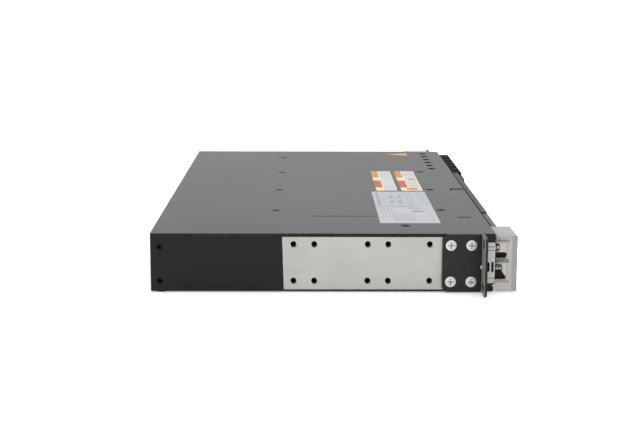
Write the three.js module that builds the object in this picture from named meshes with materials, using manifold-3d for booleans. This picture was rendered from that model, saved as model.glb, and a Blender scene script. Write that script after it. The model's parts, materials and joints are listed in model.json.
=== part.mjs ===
// A 1U, 19-inch server rack battery in the 48 V class, as separate pieces.
// Millimetres. X runs across the rack, the front faces -Y, and +Z is up.
// The origin is under the middle of the object, at the bottom of its pads.
import * as THREE from 'three';
import { mergeVertices } from 'three/addons/utils/BufferGeometryUtils.js';
import Module from 'manifold-3d';

const wasm = await Module();
wasm.setup();

// Driving dimensions. Inside the chassis group Z = 0 is the underside of the tray
// and Y = 0 is the middle of the lid.
const WIDTH = 442;
const DEPTH = 254;
const HEIGHT = 43.6;
const SHEET = 1.2;
const GAP = 0.3;
const SIDE = WIDTH / 2;
const REAR = DEPTH / 2;
const FRONT = -DEPTH / 2;
const INNER_SIDE = SIDE - SHEET;
const WALL_TOP = HEIGHT - SHEET - GAP;
const FLOOR_TOP = SHEET;

// Rack ears
const EAR_SHEET = 2;
const EAR_SPAN = 482.6;
const EAR_REAR = -88;
const EAR_FRONT = -119;
const EAR_CORNER = 4.5;
const RACK_HOLE_SPACING = 31.75;
const RACK_HOLE_X = 465.1 / 2;
const RACK_SLOT = { width: 10.3, height: 6.8 };
const EAR_SCREW_Y = [-94.3, -109.4];
const EAR_SCREW_Z = [7.7, 35.1];
const EAR_SCREW_HEAD = 4;
const EAR_SCREW_SHANK = 2;

// Holes in the side walls
const SIDE_HOLE_Y = [21.7, 6.4, -33, -48.1, -78.7];
const SIDE_HOLE_Z = [8.2, 35.7];
const SIDE_HOLE_RADIUS = 1.9;
const REAR_HOLE_Y = 120.3;
const REAR_HOLE_Z = [7.8, 33.3];
const REAR_HOLE_RADIUS = 1.5;

// Pads under the tray
const PAD_DROP = 0.85;
const PAD_RADIUS = 5.7;
const PAD_STEM = 2.2;
const PAD_X = 214.5;
const PAD_Y = { front: -100, rear: 119.4 };

// Lid
const LID_SCREWS = [
  [-127, 36], [-27, 36], [73, 36], [173, 36],
  [-125, -96.5], [-25, -96.5], [78, -96.5], [-190.5, -63],
];
const LID_SCREW_RADIUS = 1.6;
const LID_FLANGE = { drop: 3.6, y: [-84, 120], rearX: [-210, 210] };
const LID_SLOT = { y: -109.9, width: 7.4, length: 6.2, corner: 1.2 };
const LID_SLIT = { x: -152.5, y: -16.8, width: 1.6, length: 49.2 };
const LID_FRONT_SLOT = { x: -156, y: -111.5, width: 3, length: 12 };
const LID_NOTCH = { x: [-28.5, -19.5], rear: -114.6, corner: 1 };

// Front row: ground panel, control module and six breakers
const ROW_TOP = 41.4;
const ROW_GROOVE = { width: 2.6, depth: 3 };
const GROUND_PANEL = { left: -181.4, right: -129, bottom: 2.2, front: -133.4, wall: 1.5 };
const MODULE = { left: -122.5, right: 85, bottom: 2.2, front: -134, wall: 1.5 };
const BREAKER_COUNT = 6;
const BREAKER_FIRST_X = 98.3;
const BREAKER_PITCH = 20.76;
const BREAKER_WIDTH = 19;
const BREAKER_BOTTOM = 3.4;
const BREAKER_FRONT = -138;
const BREAKER_REAR = -84;
const TOGGLE_PIVOT_Y = -130.5;
const TOGGLE_PIVOT_Z = 22.4;
const TOGGLE_REST = THREE.MathUtils.degToRad(18);

// Terminals and their clear cover
const BLOCK = { left: -219.4, right: -183, bottom: 1.6, top: 42, front: -126.6, rear: -112.4 };
const POLE_Z = [31.4, 15.2];
const POLE_SCREW_X = [-211, -190];
const POLE_SCREW_REACH = [5.2, 7.4];
const SPOT_FACE = { radius: 4.1, depth: 0.3 };
const COVER = {
  left: -221, right: -182, bottom: 0.3, top: 41.4, front: -143.5, rear: -127.8, wall: 1.5,
};
const HINGE_Y = -129.5;
const HINGE_Z = 39.7;
const HINGE_RADIUS = 1.7;
const PIN_RADIUS = 0.4;
const PIN_CLEARANCE = 0.25;
const KNUCKLES = [[-214, -206], [-196, -188]];
const KNUCKLE_RADIUS = 1;
const KNUCKLE_ROOT = 0.45;
const CABLE_WINDOWS = [[25, 36.2], [9, 21.2]];
const CABLE_WINDOW_FRONT = -136.2;
const WINDOW_RIM = { y: [-137.6, -128.2], z: [7.4, 38.4], thickness: 0.5 };
const BRACKET_SCREW = { x: -219, y: -125.35, radius: 0.55 };
const BRACKET_GROOVE = { z: [33.6, 30.9, 10], height: 0.6, depth: 0.4 };
const BAR_PAD = { x: [-216, -185], halfHeight: 3.4, thickness: 2 };
const BAR_TAIL = { halfWidth: 5, halfHeight: 1.2, rear: [-64, -74] };

// Inside
const PARTITION_X = [-127, -27, 73, 173];
const PARTITION_FRONT = -62;
const PACK_CELLS = 5;
const CELL_THICKNESS = 7.4;
const PACK = { width: 96, front: -56, rear: 118, bottom: 3.2 };
const CELL_TAB = { places: [0.27, 0.73], halfWidth: 12, halfThickness: 0.3, length: 6 };
const TAB_BOARD = { x: [-125, 171], y: [-66.5, -64.9], z: [5, 38] };
const BOARD = { x: [-118, 78], y: [-114, -70], z: [7, 8.6] };
const HEAT_SINK = { x: [[-112, -50], [-40, 20]], y: [-84, -74], top: 30 };
const RELAY = { x: [[26, 42], [50, 66]], y: [-106, -96], top: 18 };
const CHIP = { x: [[-100, -60], [-20, 6]], y: [-107, -92], top: 12 };
const CAPACITOR = { x: [30, 46, 62], y: -80, radius: 6, top: 30 };
const CONTACTOR = { x: [-215, -183], y: [-60, -22], z: [2, 38] };
const CONTACTOR_STUD = { x: [-207, -191], z: 24, radius: 3 };
const FUSE = { x: -160, z: 20, radius: 9, y: [-56, -18] };
const FUSE_BLADE = { halfWidth: 5, halfThickness: 1.2, length: 12 };

const GROUND = { x: -166, z: 13, hole: 2.9, seat: 6.2, seatDepth: 0.3 };
const VENT = { count: 5, firstX: -153.5, pitch: 4.6, z: 22, width: 2.2, height: 26 };
const POWER_BUTTON = { x: -108, z: 21.8, radius: 5, travel: 1.2 };
const LIGHT_BAR = { x: [-94, -58], z: [28, 31.4], lenses: 6 };
const RESET_BUTTON = { x: -88, z: 14, radius: 1.6 };
const ADDRESS_DIAL = { x: -66, z: 14, radius: 4.6 };
const PORTS = { x: [-48, 18], z: [11, 28], front: -134.6, rear: -116, count: 4 };
const ALARM = { x: [57.2, 83], z: [25, 39.8], front: -137.2, rear: -118, poles: 6 };

// Steps round a circle
const ROUND = 16;
const FINE = 24;
const COARSE = 10;
const CURVE_STEPS = 3;

const chassis = new THREE.Group();
chassis.position.set(0, -(REAR + COVER.front) / 2, PAD_DROP);

// ---------------------------------------------------------------- solids

function solid(geometry) {
  const bare = geometry.index ? geometry.clone() : geometry;
  bare.deleteAttribute('normal');
  bare.deleteAttribute('uv');
  const merged = mergeVertices(bare, 1e-5);
  return new wasm.Manifold(new wasm.Mesh({
    numProp: 3,
    vertProperties: new Float32Array(merged.attributes.position.array),
    triVerts: new Uint32Array(merged.index.array),
  }));
}

function cut(base, tools) {
  return tools.reduce((rest, tool) => rest.subtract(tool), base);
}

function join(pieces) {
  return pieces.reduce((whole, piece) => whole.add(piece));
}

function block(x, y, z) {
  const geometry = new THREE.BoxGeometry(x[1] - x[0], y[1] - y[0], z[1] - z[0]);
  geometry.translate((x[0] + x[1]) / 2, (y[0] + y[1]) / 2, (z[0] + z[1]) / 2);
  return solid(geometry);
}

// Extrudes a flat outline along one axis. The outline is (Y, Z) along X,
// (X, Z) along Y and (X, Y) along Z.
function prism(outline, axis, from, to) {
  const shape = Array.isArray(outline)
    ? new THREE.Shape(outline.map(([u, v]) => new THREE.Vector2(u, v)))
    : outline;
  const geometry = new THREE.ExtrudeGeometry(shape, {
    depth: to - from,
    bevelEnabled: false,
    curveSegments: CURVE_STEPS,
  });
  if (axis === 'x') {
    geometry.applyMatrix4(new THREE.Matrix4().makeBasis(
      new THREE.Vector3(0, 1, 0), new THREE.Vector3(0, 0, 1), new THREE.Vector3(1, 0, 0)));
    geometry.translate(from, 0, 0);
  } else if (axis === 'y') {
    geometry.rotateX(Math.PI / 2);
    geometry.translate(0, to, 0);
  } else {
    geometry.translate(0, 0, from);
  }
  return solid(geometry);
}

// Turns a profile of (radius, place along the axis) points round an axis.
function turned(profile, axis, centre, segments = ROUND) {
  const points = profile.map(([radius, along]) => new THREE.Vector2(radius, along));
  const geometry = new THREE.LatheGeometry(points, segments);
  if (axis === 'x') {
    geometry.rotateZ(-Math.PI / 2);
  } else if (axis === 'z') {
    geometry.rotateX(Math.PI / 2);
  }
  geometry.translate(...centre);
  return solid(geometry);
}

function rod(radius, axis, from, to, across, segments = ROUND) {
  const centre = { x: [0, ...across], y: [across[0], 0, across[1]], z: [...across, 0] }[axis];
  return turned([[0, from], [radius, from], [radius, to], [0, to]], axis, centre, segments);
}

function roundedOutline(u, v, radius) {
  const shape = new THREE.Shape();
  const quarter = Math.PI / 2;
  shape.moveTo(u[0] + radius, v[0]);
  shape.absarc(u[1] - radius, v[0] + radius, radius, -quarter, 0, false);
  shape.absarc(u[1] - radius, v[1] - radius, radius, 0, quarter, false);
  shape.absarc(u[0] + radius, v[1] - radius, radius, quarter, 2 * quarter, false);
  shape.absarc(u[0] + radius, v[0] + radius, radius, 2 * quarter, 3 * quarter, false);
  return shape;
}

function slotAt(u, v, width, height) {
  const ends = Math.min(width, height) / 2 - 0.01;
  return roundedOutline([u - width / 2, u + width / 2], [v - height / 2, v + height / 2], ends);
}

// ---------------------------------------------------------------- materials

function finish(color, roughness, metalness) {
  return () => new THREE.MeshStandardMaterial({ color, roughness, metalness });
}

const blackCoat = finish(0x2d2d2b, 0.5, 0.1);
const moduleCoat = finish(0x3a3a3a, 0.55, 0.1);
const zinc = finish(0xbfc0b9, 0.35, 0.9);
const blackPlastic = finish(0x1c1c1d, 0.5, 0);
const clearPlastic = finish(0xd8dad8, 0.1, 0);
const whitePlastic = finish(0xe6e7e4, 0.4, 0);
const tinnedCopper = finish(0xc6a27c, 0.35, 0.9);
const circuitBoard = finish(0x1d5a3a, 0.5, 0);
const foilPouch = finish(0xa9adb2, 0.4, 0.7);
const rubber = finish(0x1a1a1a, 0.9, 0);
const ceramic = finish(0xd9d2c2, 0.6, 0);

function piece(name, shape, material) {
  const data = shape.getMesh();
  const geometry = new THREE.BufferGeometry();
  geometry.setAttribute('position', new THREE.BufferAttribute(data.vertProperties, 3));
  geometry.setIndex(new THREE.BufferAttribute(data.triVerts, 1));
  geometry.computeVertexNormals();
  const mesh = new THREE.Mesh(geometry, material());
  mesh.name = name;
  chassis.add(mesh);
  return mesh;
}

// ---------------------------------------------------------------- chassis

function sideHoles() {
  const through = [-SIDE - 1, SIDE + 1];
  const tools = [];
  for (const z of SIDE_HOLE_Z) {
    for (const y of SIDE_HOLE_Y) {
      tools.push(rod(SIDE_HOLE_RADIUS, 'x', ...through, [y, z], COARSE));
    }
  }
  for (const z of REAR_HOLE_Z) {
    tools.push(rod(REAR_HOLE_RADIUS, 'x', ...through, [REAR_HOLE_Y, z], COARSE));
  }
  for (const z of EAR_SCREW_Z) {
    for (const y of EAR_SCREW_Y) {
      tools.push(rod(EAR_SCREW_SHANK + GAP, 'x', ...through, [y, z], COARSE));
    }
  }
  return tools;
}

function rearVents() {
  const tools = [];
  const slot = { width: 2.2, height: 20, pitch: 7, perGroup: 7, middle: 23 };
  for (const groupX of [-130, 130]) {
    for (let i = 0; i < slot.perGroup; i += 1) {
      const x = groupX + (i - (slot.perGroup - 1) / 2) * slot.pitch;
      tools.push(prism(slotAt(x, slot.middle, slot.width, slot.height), 'y', REAR - 3, REAR + 1));
    }
  }
  return tools;
}

function baseTray() {
  // The left wall is cut back at the front for the terminal bracket, above a slanted tongue.
  const leftWall = [
    [REAR, 0], [REAR, WALL_TOP], [-126.9, WALL_TOP], [-127.5, WALL_TOP - 0.8], [-127.5, 38.2],
    [-126.6, 37.2], [-121.4, 37.2], [-121.4, 5.9], [-123.8, 5.9], [-126.3, 1.8], [-125.9, 0],
  ];
  const body = join([
    block([-SIDE, SIDE], [FRONT + 1.1, REAR], [0, FLOOR_TOP]),
    prism(leftWall, 'x', -SIDE, -INNER_SIDE),
    block([INNER_SIDE, SIDE], [FRONT, REAR], [0, WALL_TOP]),
    block([-SIDE, SIDE], [REAR - SHEET, REAR], [0, WALL_TOP]),
  ]);
  const padHoles = padPlaces().map(([x, y]) => rod(PAD_STEM + GAP, 'z', -1, 3, [x, y], 12));
  return cut(body, [...sideHoles(), ...rearVents(), ...padHoles]);
}

function topCover() {
  const under = HEIGHT - SHEET;
  const drop = [under - LID_FLANGE.drop, under + 0.1];
  const outer = INNER_SIDE - GAP;
  const rearFlange = [REAR - 2 * SHEET - GAP, REAR - SHEET - GAP];
  const body = join([
    block([-SIDE, SIDE], [FRONT, REAR], [under, HEIGHT]),
    block([-outer, SHEET - outer], LID_FLANGE.y, drop),
    block([outer - SHEET, outer], LID_FLANGE.y, drop),
    block(LID_FLANGE.rearX, rearFlange, drop),
  ]);
  const through = [under - 1, HEIGHT + 1];
  const cuts = LID_SCREWS.map(([x, y]) => turned(
    [[0, through[0]], [LID_SCREW_RADIUS, through[0]], [LID_SCREW_RADIUS, HEIGHT - 0.9],
      [LID_SCREW_RADIUS + 1.4, HEIGHT + 0.2], [LID_SCREW_RADIUS + 1.4, through[1]], [0, through[1]]],
    'z', [x, y, 0], 12));
  const { y: slotY, width: slotWidth, length: slotLength, corner } = LID_SLOT;
  for (let i = 0; i < BREAKER_COUNT; i += 1) {
    const x = breakerX(i);
    cuts.push(prism(roundedOutline(
      [x - slotWidth / 2, x + slotWidth / 2], [slotY - slotLength / 2, slotY + slotLength / 2], corner),
    'z', ...through));
  }
  for (const { x, y, width, length } of [LID_SLIT, LID_FRONT_SLOT]) {
    cuts.push(prism(slotAt(x, y, width, length), 'z', ...through));
  }
  const notch = roundedOutline(LID_NOTCH.x, [FRONT - 5, LID_NOTCH.rear], LID_NOTCH.corner);
  cuts.push(prism(notch, 'z', ...through));
  return cut(body, cuts);
}

function rackEar(side) {
  const along = (near, far) => (side < 0 ? [-far, -near] : [near, far]);
  const leg = along(SIDE + GAP, SIDE + GAP + EAR_SHEET);
  const flange = along(SIDE + GAP, EAR_SPAN / 2);
  const legOutline = new THREE.Shape();
  const quarter = Math.PI / 2;
  legOutline.moveTo(EAR_FRONT, 0);
  legOutline.lineTo(EAR_REAR - EAR_CORNER, 0);
  legOutline.absarc(EAR_REAR - EAR_CORNER, EAR_CORNER, EAR_CORNER, -quarter, 0, false);
  legOutline.absarc(EAR_REAR - EAR_CORNER, HEIGHT - EAR_CORNER, EAR_CORNER, 0, quarter, false);
  legOutline.lineTo(EAR_FRONT, HEIGHT);
  const inward = side < 0 ? flange[1] : flange[0];
  const outward = side < 0 ? flange[0] : flange[1];
  const flangeOutline = new THREE.Shape();
  const corner = 3;
  flangeOutline.moveTo(inward, 0);
  flangeOutline.lineTo(outward - side * corner, 0);
  flangeOutline.quadraticCurveTo(outward, 0, outward, corner);
  flangeOutline.lineTo(outward, HEIGHT - corner);
  flangeOutline.quadraticCurveTo(outward, HEIGHT, outward - side * corner, HEIGHT);
  flangeOutline.lineTo(inward, HEIGHT);
  const body = join([
    prism(legOutline, 'x', ...leg),
    prism(flangeOutline, 'y', EAR_FRONT, EAR_FRONT + EAR_SHEET),
  ]);
  const cuts = [-1, 1].map((end) => prism(
    slotAt(side * RACK_HOLE_X, HEIGHT / 2 + end * RACK_HOLE_SPACING / 2, RACK_SLOT.width, RACK_SLOT.height),
    'y', EAR_FRONT - 1, EAR_FRONT + EAR_SHEET + 1));
  for (const y of EAR_SCREW_Y) {
    for (const z of EAR_SCREW_Z) {
      cuts.push(screwShape(side, y, z, GAP));
    }
  }
  return cut(body, cuts);
}

// The countersunk screw of the ear, grown all round by a clearance.
function screwShape(side, y, z, clearance = 0) {
  const face = SIDE + GAP + EAR_SHEET;
  const shank = EAR_SCREW_SHANK + clearance;
  const head = EAR_SCREW_HEAD + clearance;
  const inner = clearance ? SIDE - 4 : SIDE - 5;
  const profile = [
    [0, inner], [shank, inner], [shank, face - EAR_SHEET + clearance], [head, face + clearance / 2],
    [head * 0.7, face + 0.55 + clearance], [0, face + 0.75 + clearance],
  ];
  const turnedScrew = turned(profile, 'x', [0, 0, 0], ROUND);
  const facing = side < 0 ? turnedScrew.rotate([0, 180, 0]) : turnedScrew;
  return facing.translate([0, y, z]);
}

function earScrew(side, y, z) {
  const face = side * (SIDE + GAP + EAR_SHEET);
  const x = [face - side * 1.1, face + side * 1.5].sort((a, b) => a - b);
  const recess = { length: 2.3, width: 0.5 };
  return cut(screwShape(side, y, z), [
    block(x, [y - recess.length, y + recess.length], [z - recess.width, z + recess.width]),
    block(x, [y - recess.width, y + recess.width], [z - recess.length, z + recess.length]),
  ]);
}

function padPlaces() {
  return [PAD_Y.front, PAD_Y.rear].flatMap((y) => [[-PAD_X, y], [PAD_X, y]]);
}

function basePad([x, y]) {
  return turned(
    [[0, -PAD_DROP], [PAD_RADIUS - 0.4, -PAD_DROP], [PAD_RADIUS, -PAD_DROP + 0.3],
      [PAD_RADIUS, -GAP], [PAD_STEM, -GAP], [PAD_STEM, FLOOR_TOP + 0.6], [0, FLOOR_TOP + 0.6]],
    'z', [x, y, 0]);
}

function partition(x) {
  // A thin wall with a foot on the floor and a tab under the lid, both turned to the right.
  const foot = 9;
  const low = FLOOR_TOP + GAP;
  const high = WALL_TOP - 0.2;
  const outline = [
    [x, low], [x + foot, low], [x + foot, low + SHEET], [x + SHEET, low + SHEET],
    [x + SHEET, high - SHEET], [x + foot, high - SHEET], [x + foot, high], [x, high],
  ];
  return prism(outline, 'y', PARTITION_FRONT, REAR - SHEET - GAP - SHEET - 1.5);
}

piece('base_tray', baseTray(), blackCoat);
piece('top_cover', topCover(), blackCoat);
piece('left_ear', rackEar(-1), blackCoat);
piece('right_ear', rackEar(1), blackCoat);
for (const [sideName, side] of [['left', -1], ['right', 1]]) {
  EAR_SCREW_Y.forEach((y, row) => EAR_SCREW_Z.forEach((z, level) => {
    piece(`ear_screw_${sideName}_${row * 2 + level + 1}`, earScrew(side, y, z), zinc);
  }));
}
padPlaces().forEach((place, i) => piece(`base_pad_${i + 1}`, basePad(place), rubber));
PARTITION_X.forEach((x, i) => piece(`partition_${i + 1}`, partition(x), zinc));

// ---------------------------------------------------------------- front panel and control module

function breakerX(i) {
  return BREAKER_FIRST_X + i * BREAKER_PITCH;
}

function frontPanel() {
  const y = [FRONT + 0.4, FRONT + 0.4 + SHEET];
  const left = BLOCK.right + GAP + 0.4;
  const right = INNER_SIDE - GAP;
  const bottom = FLOOR_TOP + GAP;
  const body = join([
    block([left, right], y, [bottom, WALL_TOP]),
    block([left, right], [y[0], y[1] + 11], [bottom, bottom + SHEET]),
  ]);
  const through = [y[0] - 1, y[1] + 1];
  const breakerLeft = breakerX(0) - BREAKER_WIDTH / 2 - GAP;
  const breakerRight = breakerX(BREAKER_COUNT - 1) + BREAKER_WIDTH / 2 + GAP;
  return cut(body, [
    block([GROUND_PANEL.left + 3, GROUND_PANEL.right - 3], through, [6, 38]),
    block([MODULE.left + 3, MODULE.right - 1.5], through, [4.8, 40.2]),
    block([breakerLeft, breakerRight], [y[0] - 1, y[1] + 12], [BREAKER_BOTTOM - GAP, WALL_TOP + 1]),
  ]);
}

// A shallow tray, open at the back, that stands proud of the front edge behind a narrow groove.
function proudShell({ left, right, bottom, front, wall }) {
  const rim = FRONT + 0.1;
  return cut(block([left, right], [front, rim], [bottom, ROW_TOP]), [
    block([left + wall, right - wall], [front + wall, rim + 1], [bottom + wall, ROW_TOP - wall]),
    block([left - 1, right + 1], [rim - ROW_GROOVE.width, rim + 1],
      [ROW_TOP - ROW_GROOVE.depth, ROW_TOP + 1]),
  ]);
}

function groundPanel() {
  const { front, wall } = GROUND_PANEL;
  const through = [front - 1, front + wall + 0.5];
  const cuts = [
    rod(GROUND.hole, 'y', ...through, [GROUND.x, GROUND.z], ROUND),
    rod(GROUND.seat, 'y', front - 1, front + GROUND.seatDepth, [GROUND.x, GROUND.z], ROUND),
  ];
  for (let i = 0; i < VENT.count; i += 1) {
    const slot = slotAt(VENT.firstX + i * VENT.pitch, VENT.z, VENT.width, VENT.height);
    cuts.push(prism(slot, 'y', ...through));
  }
  return cut(proudShell(GROUND_PANEL), cuts);
}

function moduleFace() {
  const through = [MODULE.front - 1, MODULE.front + MODULE.wall + 0.5];
  const clear = ([low, high]) => [low - GAP, high + GAP];
  return cut(proudShell(MODULE), [
    rod(POWER_BUTTON.radius + GAP, 'y', ...through, [POWER_BUTTON.x, POWER_BUTTON.z], FINE),
    rod(RESET_BUTTON.radius + GAP, 'y', ...through, [RESET_BUTTON.x, RESET_BUTTON.z], 12),
    rod(ADDRESS_DIAL.radius + GAP, 'y', ...through, [ADDRESS_DIAL.x, ADDRESS_DIAL.z], FINE),
    block(clear(LIGHT_BAR.x), through, clear(LIGHT_BAR.z)),
    block(clear(PORTS.x), through, clear(PORTS.z)),
    block(clear(ALARM.x), through, clear(ALARM.z)),
  ]);
}

function pushButton({ x, z, radius }, front, flange) {
  const back = MODULE.front + MODULE.wall + GAP;
  const profile = [
    [0, front], [radius - 0.5, front], [radius, front + 0.4], [radius, back],
    [radius + flange, back], [radius + flange, back + 1], [0, back + 1],
  ];
  return turned(profile, 'y', [x, 0, z], radius > 3 ? FINE : 12);
}

function addressDial() {
  const { x, z, radius } = ADDRESS_DIAL;
  const front = MODULE.front + 0.2;
  const body = rod(radius, 'y', front, front + 6, [x, z], FINE);
  const slot = { length: 3.4, width: 0.6, depth: 0.9 };
  const arrow = [[x - 1.6, z + 1.6], [x + 1.6, z + 1.6], [x, z + slot.length + 0.5]];
  return cut(body, [
    block(
      [x - slot.width, x + slot.width], [front - 1, front + slot.depth], [z - slot.length, z + slot.length]),
    prism(arrow, 'y', front - 1, front + slot.depth),
  ]);
}

function statusLightBar() {
  const y = [MODULE.front - 0.2, MODULE.front + 4];
  const lenses = [];
  const pitch = (LIGHT_BAR.x[1] - LIGHT_BAR.x[0]) / LIGHT_BAR.lenses;
  for (let i = 0; i < LIGHT_BAR.lenses; i += 1) {
    const x = LIGHT_BAR.x[0] + (i + 0.5) * pitch;
    lenses.push(block(
      [x - 1.9, x + 1.9], [y[0] - 0.4, y[0] + 0.1], [LIGHT_BAR.z[0] + 0.5, LIGHT_BAR.z[1] - 0.5]));
  }
  return join([block(LIGHT_BAR.x, y, LIGHT_BAR.z), ...lenses]);
}

function networkPorts() {
  const pitch = (PORTS.x[1] - PORTS.x[0]) / PORTS.count;
  const socket = { width: 11.8, height: 8.4, depth: 12.5 };
  const bottom = PORTS.z[0] + 4.6;
  const cuts = [];
  for (let i = 0; i < PORTS.count; i += 1) {
    const x = PORTS.x[0] + (i + 0.5) * pitch;
    const y = [PORTS.front - 1, PORTS.front + socket.depth];
    const half = socket.width / 2;
    cuts.push(block([x - half, x + half], y, [bottom, bottom + socket.height]));
    cuts.push(block([x - 3, x + 3], y, [bottom - 1.6, bottom + 1]));
    cuts.push(block([x - 1.7, x + 1.7], y, [bottom - 2.9, bottom]));
  }
  return cut(block(PORTS.x, [PORTS.front, PORTS.rear], PORTS.z), cuts);
}

function alarmConnector() {
  const pitch = (ALARM.x[1] - ALARM.x[0]) / ALARM.poles;
  const cuts = [];
  for (let i = 0; i < ALARM.poles; i += 1) {
    const x = ALARM.x[0] + (i + 0.5) * pitch;
    const z = ALARM.z[0] + 3.6;
    cuts.push(block([x - 1.5, x + 1.5], [ALARM.front - 1, ALARM.front + 6], [z - 1.5, z + 1.5]));
    cuts.push(rod(1.5, 'y', ALARM.front - 1, ALARM.front + 2, [x, z + 6.4], 12));
  }
  return cut(block(ALARM.x, [ALARM.front, ALARM.rear], ALARM.z), cuts);
}

function groundScrew() {
  const seat = GROUND_PANEL.front + GROUND.seatDepth - GAP;
  const washer = { radius: 5.4, thickness: 1 };
  const head = { radius: 4.4, chamfer: 0.4, height: 3 };
  const shank = { radius: 2.4, length: 5.4 };
  const centre = [GROUND.x, 0, GROUND.z];
  const headBack = seat - washer.thickness + 0.1;
  const headFront = headBack - head.height;
  const hexagon = turned([
    [0, headFront], [head.radius - head.chamfer, headFront], [head.radius, headFront + head.chamfer],
    [head.radius, headBack], [0, headBack],
  ], 'y', centre, 6);
  const stem = turned([
    [0, seat - washer.thickness], [washer.radius, seat - washer.thickness], [washer.radius, seat],
    [shank.radius, seat], [shank.radius, seat + shank.length], [0, seat + shank.length],
  ], 'y', centre, ROUND);
  return hexagon.add(stem);
}

piece('front_panel', frontPanel(), blackCoat);
piece('ground_panel', groundPanel(), blackCoat);
piece('control_module_face', moduleFace(), moduleCoat);
piece('power_button', pushButton(POWER_BUTTON, MODULE.front - POWER_BUTTON.travel, 1.2), whitePlastic);
piece('reset_button', pushButton(RESET_BUTTON, MODULE.front + 0.3, 0.8), whitePlastic);
piece('address_dial', addressDial(), whitePlastic);
piece('status_light_bar', statusLightBar(), clearPlastic);
piece('network_ports', networkPorts(), blackPlastic);
piece('alarm_connector', alarmConnector(), blackPlastic);
piece('ground_screw', groundScrew(), zinc);

// ---------------------------------------------------------------- breakers

function breaker(x) {
  const half = BREAKER_WIDTH / 2;
  const z = [BREAKER_BOTTOM, ROW_TOP];
  const nose = 0.5;
  const outline = [
    [BREAKER_REAR, z[0]], [BREAKER_REAR, z[1]], [BREAKER_FRONT + nose, z[1]], [BREAKER_FRONT, z[1] - nose],
    [BREAKER_FRONT, z[0] + nose], [BREAKER_FRONT + nose, z[0]],
  ];
  const toggleWell = block([x - 2.9, x + 2.9], [BREAKER_FRONT - 1, TOGGLE_PIVOT_Y + 4],
    [TOGGLE_PIVOT_Z - 4.6, TOGGLE_PIVOT_Z + 4.6]);
  return cut(prism(outline, 'x', x - half, x + half), [toggleWell]);
}

function breakerToggle(x) {
  const reach = 12.6;
  const boss = 2.5;
  const tip = 1.4;
  const shape = new THREE.Shape();
  shape.absarc(0, 0, boss, -Math.PI / 2, Math.PI / 2, false);
  shape.absarc(-reach + tip, 0, tip, Math.PI / 2, 1.5 * Math.PI, false);
  const lever = prism(shape, 'x', x - 2.5, x + 2.5);
  return lever.rotate([-THREE.MathUtils.radToDeg(TOGGLE_REST), 0, 0])
    .translate([0, TOGGLE_PIVOT_Y, TOGGLE_PIVOT_Z]);
}

for (let i = 0; i < BREAKER_COUNT; i += 1) {
  piece(`breaker_${i + 1}`, breaker(breakerX(i)), blackPlastic);
  piece(`breaker_toggle_${i + 1}`, breakerToggle(breakerX(i)), blackPlastic);
}

// ---------------------------------------------------------------- terminals

function terminalBlock() {
  const b = BLOCK;
  const root = b.front + 1;
  const shelf = [b.left + 3.4, b.right - 3.4];
  const shelfOutline = [
    [root, 36.4], [-131.5, 36.4], [-136.4, 37.4], [-136.4, 38.4], [-131.6, 38.4], [-131.3, 37.6],
    [root, 37.6],
  ];
  // A lip at the bottom of each cable window, on a foot that passes beside the bracket.
  const lipX = [b.left + 0.9, b.left + 4.2];
  const lipBack = -127.4;
  const lips = [
    {
      outline: [[lipBack, 21.4], [-134.4, 22.2], [-136.1, 27.4], [-135.6, 28.4], [lipBack, 28.6]],
      foot: [21.4, 27.4],
    },
    {
      outline: [[lipBack, 7.9], [-134.9, 8.9], [-135.8, 10.4], [-132.6, 14.6], [lipBack, 15]],
      foot: [7.9, 11.2],
    },
  ];
  const body = join([
    block([b.left, b.right], [b.front, b.rear], [b.bottom, b.top]),
    prism(shelfOutline, 'x', ...shelf),
    ...lips.map(({ outline }) => prism(outline, 'x', ...lipX)),
    ...lips.map(({ foot }) => block([lipX[1] - 1, lipX[1]], [lipBack - 1, root], foot)),
    ...KNUCKLES.map((span) => rod(KNUCKLE_RADIUS, 'x', ...span, [HINGE_Y, HINGE_Z])),
    ...KNUCKLES.map((span) => block(span, [HINGE_Y - KNUCKLE_ROOT, HINGE_Y + KNUCKLE_ROOT], [37, HINGE_Z])),
  ]);
  const cuts = [
    block([b.left - 1, b.left + 3.2], [b.front - 0.1, -121.4], [5.2, 37.6]),
    rod(PIN_RADIUS + PIN_CLEARANCE, 'x', b.left - 1, b.right + 1, [HINGE_Y, HINGE_Z], 12),
  ];
  POLE_Z.forEach((z) => {
    cuts.push(barPad(z, GAP), barTail(z, b.rear + 1, GAP));
    POLE_SCREW_X.forEach((x) => cuts.push(rod(2.3, 'y', b.front - 1, b.front + 13, [x, z], COARSE)));
  });
  return cut(body, cuts);
}

function barPad(z, clearance = 0) {
  const half = BAR_PAD.halfHeight + clearance;
  return block([BAR_PAD.x[0] - clearance, BAR_PAD.x[1] + clearance],
    [BLOCK.front - clearance, BLOCK.front + BAR_PAD.thickness + clearance], [z - half, z + half]);
}

function barTail(z, rear, clearance = 0) {
  const middle = (BAR_PAD.x[0] + BAR_PAD.x[1]) / 2;
  const half = BAR_TAIL.halfWidth + clearance;
  const halfHeight = BAR_TAIL.halfHeight + clearance;
  return block([middle - half, middle + half], [BLOCK.front + 0.5, rear], [z - halfHeight, z + halfHeight]);
}

// A bar is a pad in the pole's bay, with a tail that runs back into the chassis.
function poleBar(z, rear) {
  const through = [BLOCK.front - 1, BLOCK.front + BAR_PAD.thickness + 1];
  const holes = POLE_SCREW_X.map((x) => rod(2.3, 'y', ...through, [x, z], COARSE));
  const seats = POLE_SCREW_X.map((x) => rod(
    SPOT_FACE.radius, 'y', BLOCK.front - 1, BLOCK.front + SPOT_FACE.depth, [x, z], ROUND));
  return cut(barPad(z).add(barTail(z, rear)), [...holes, ...seats]);
}

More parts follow.
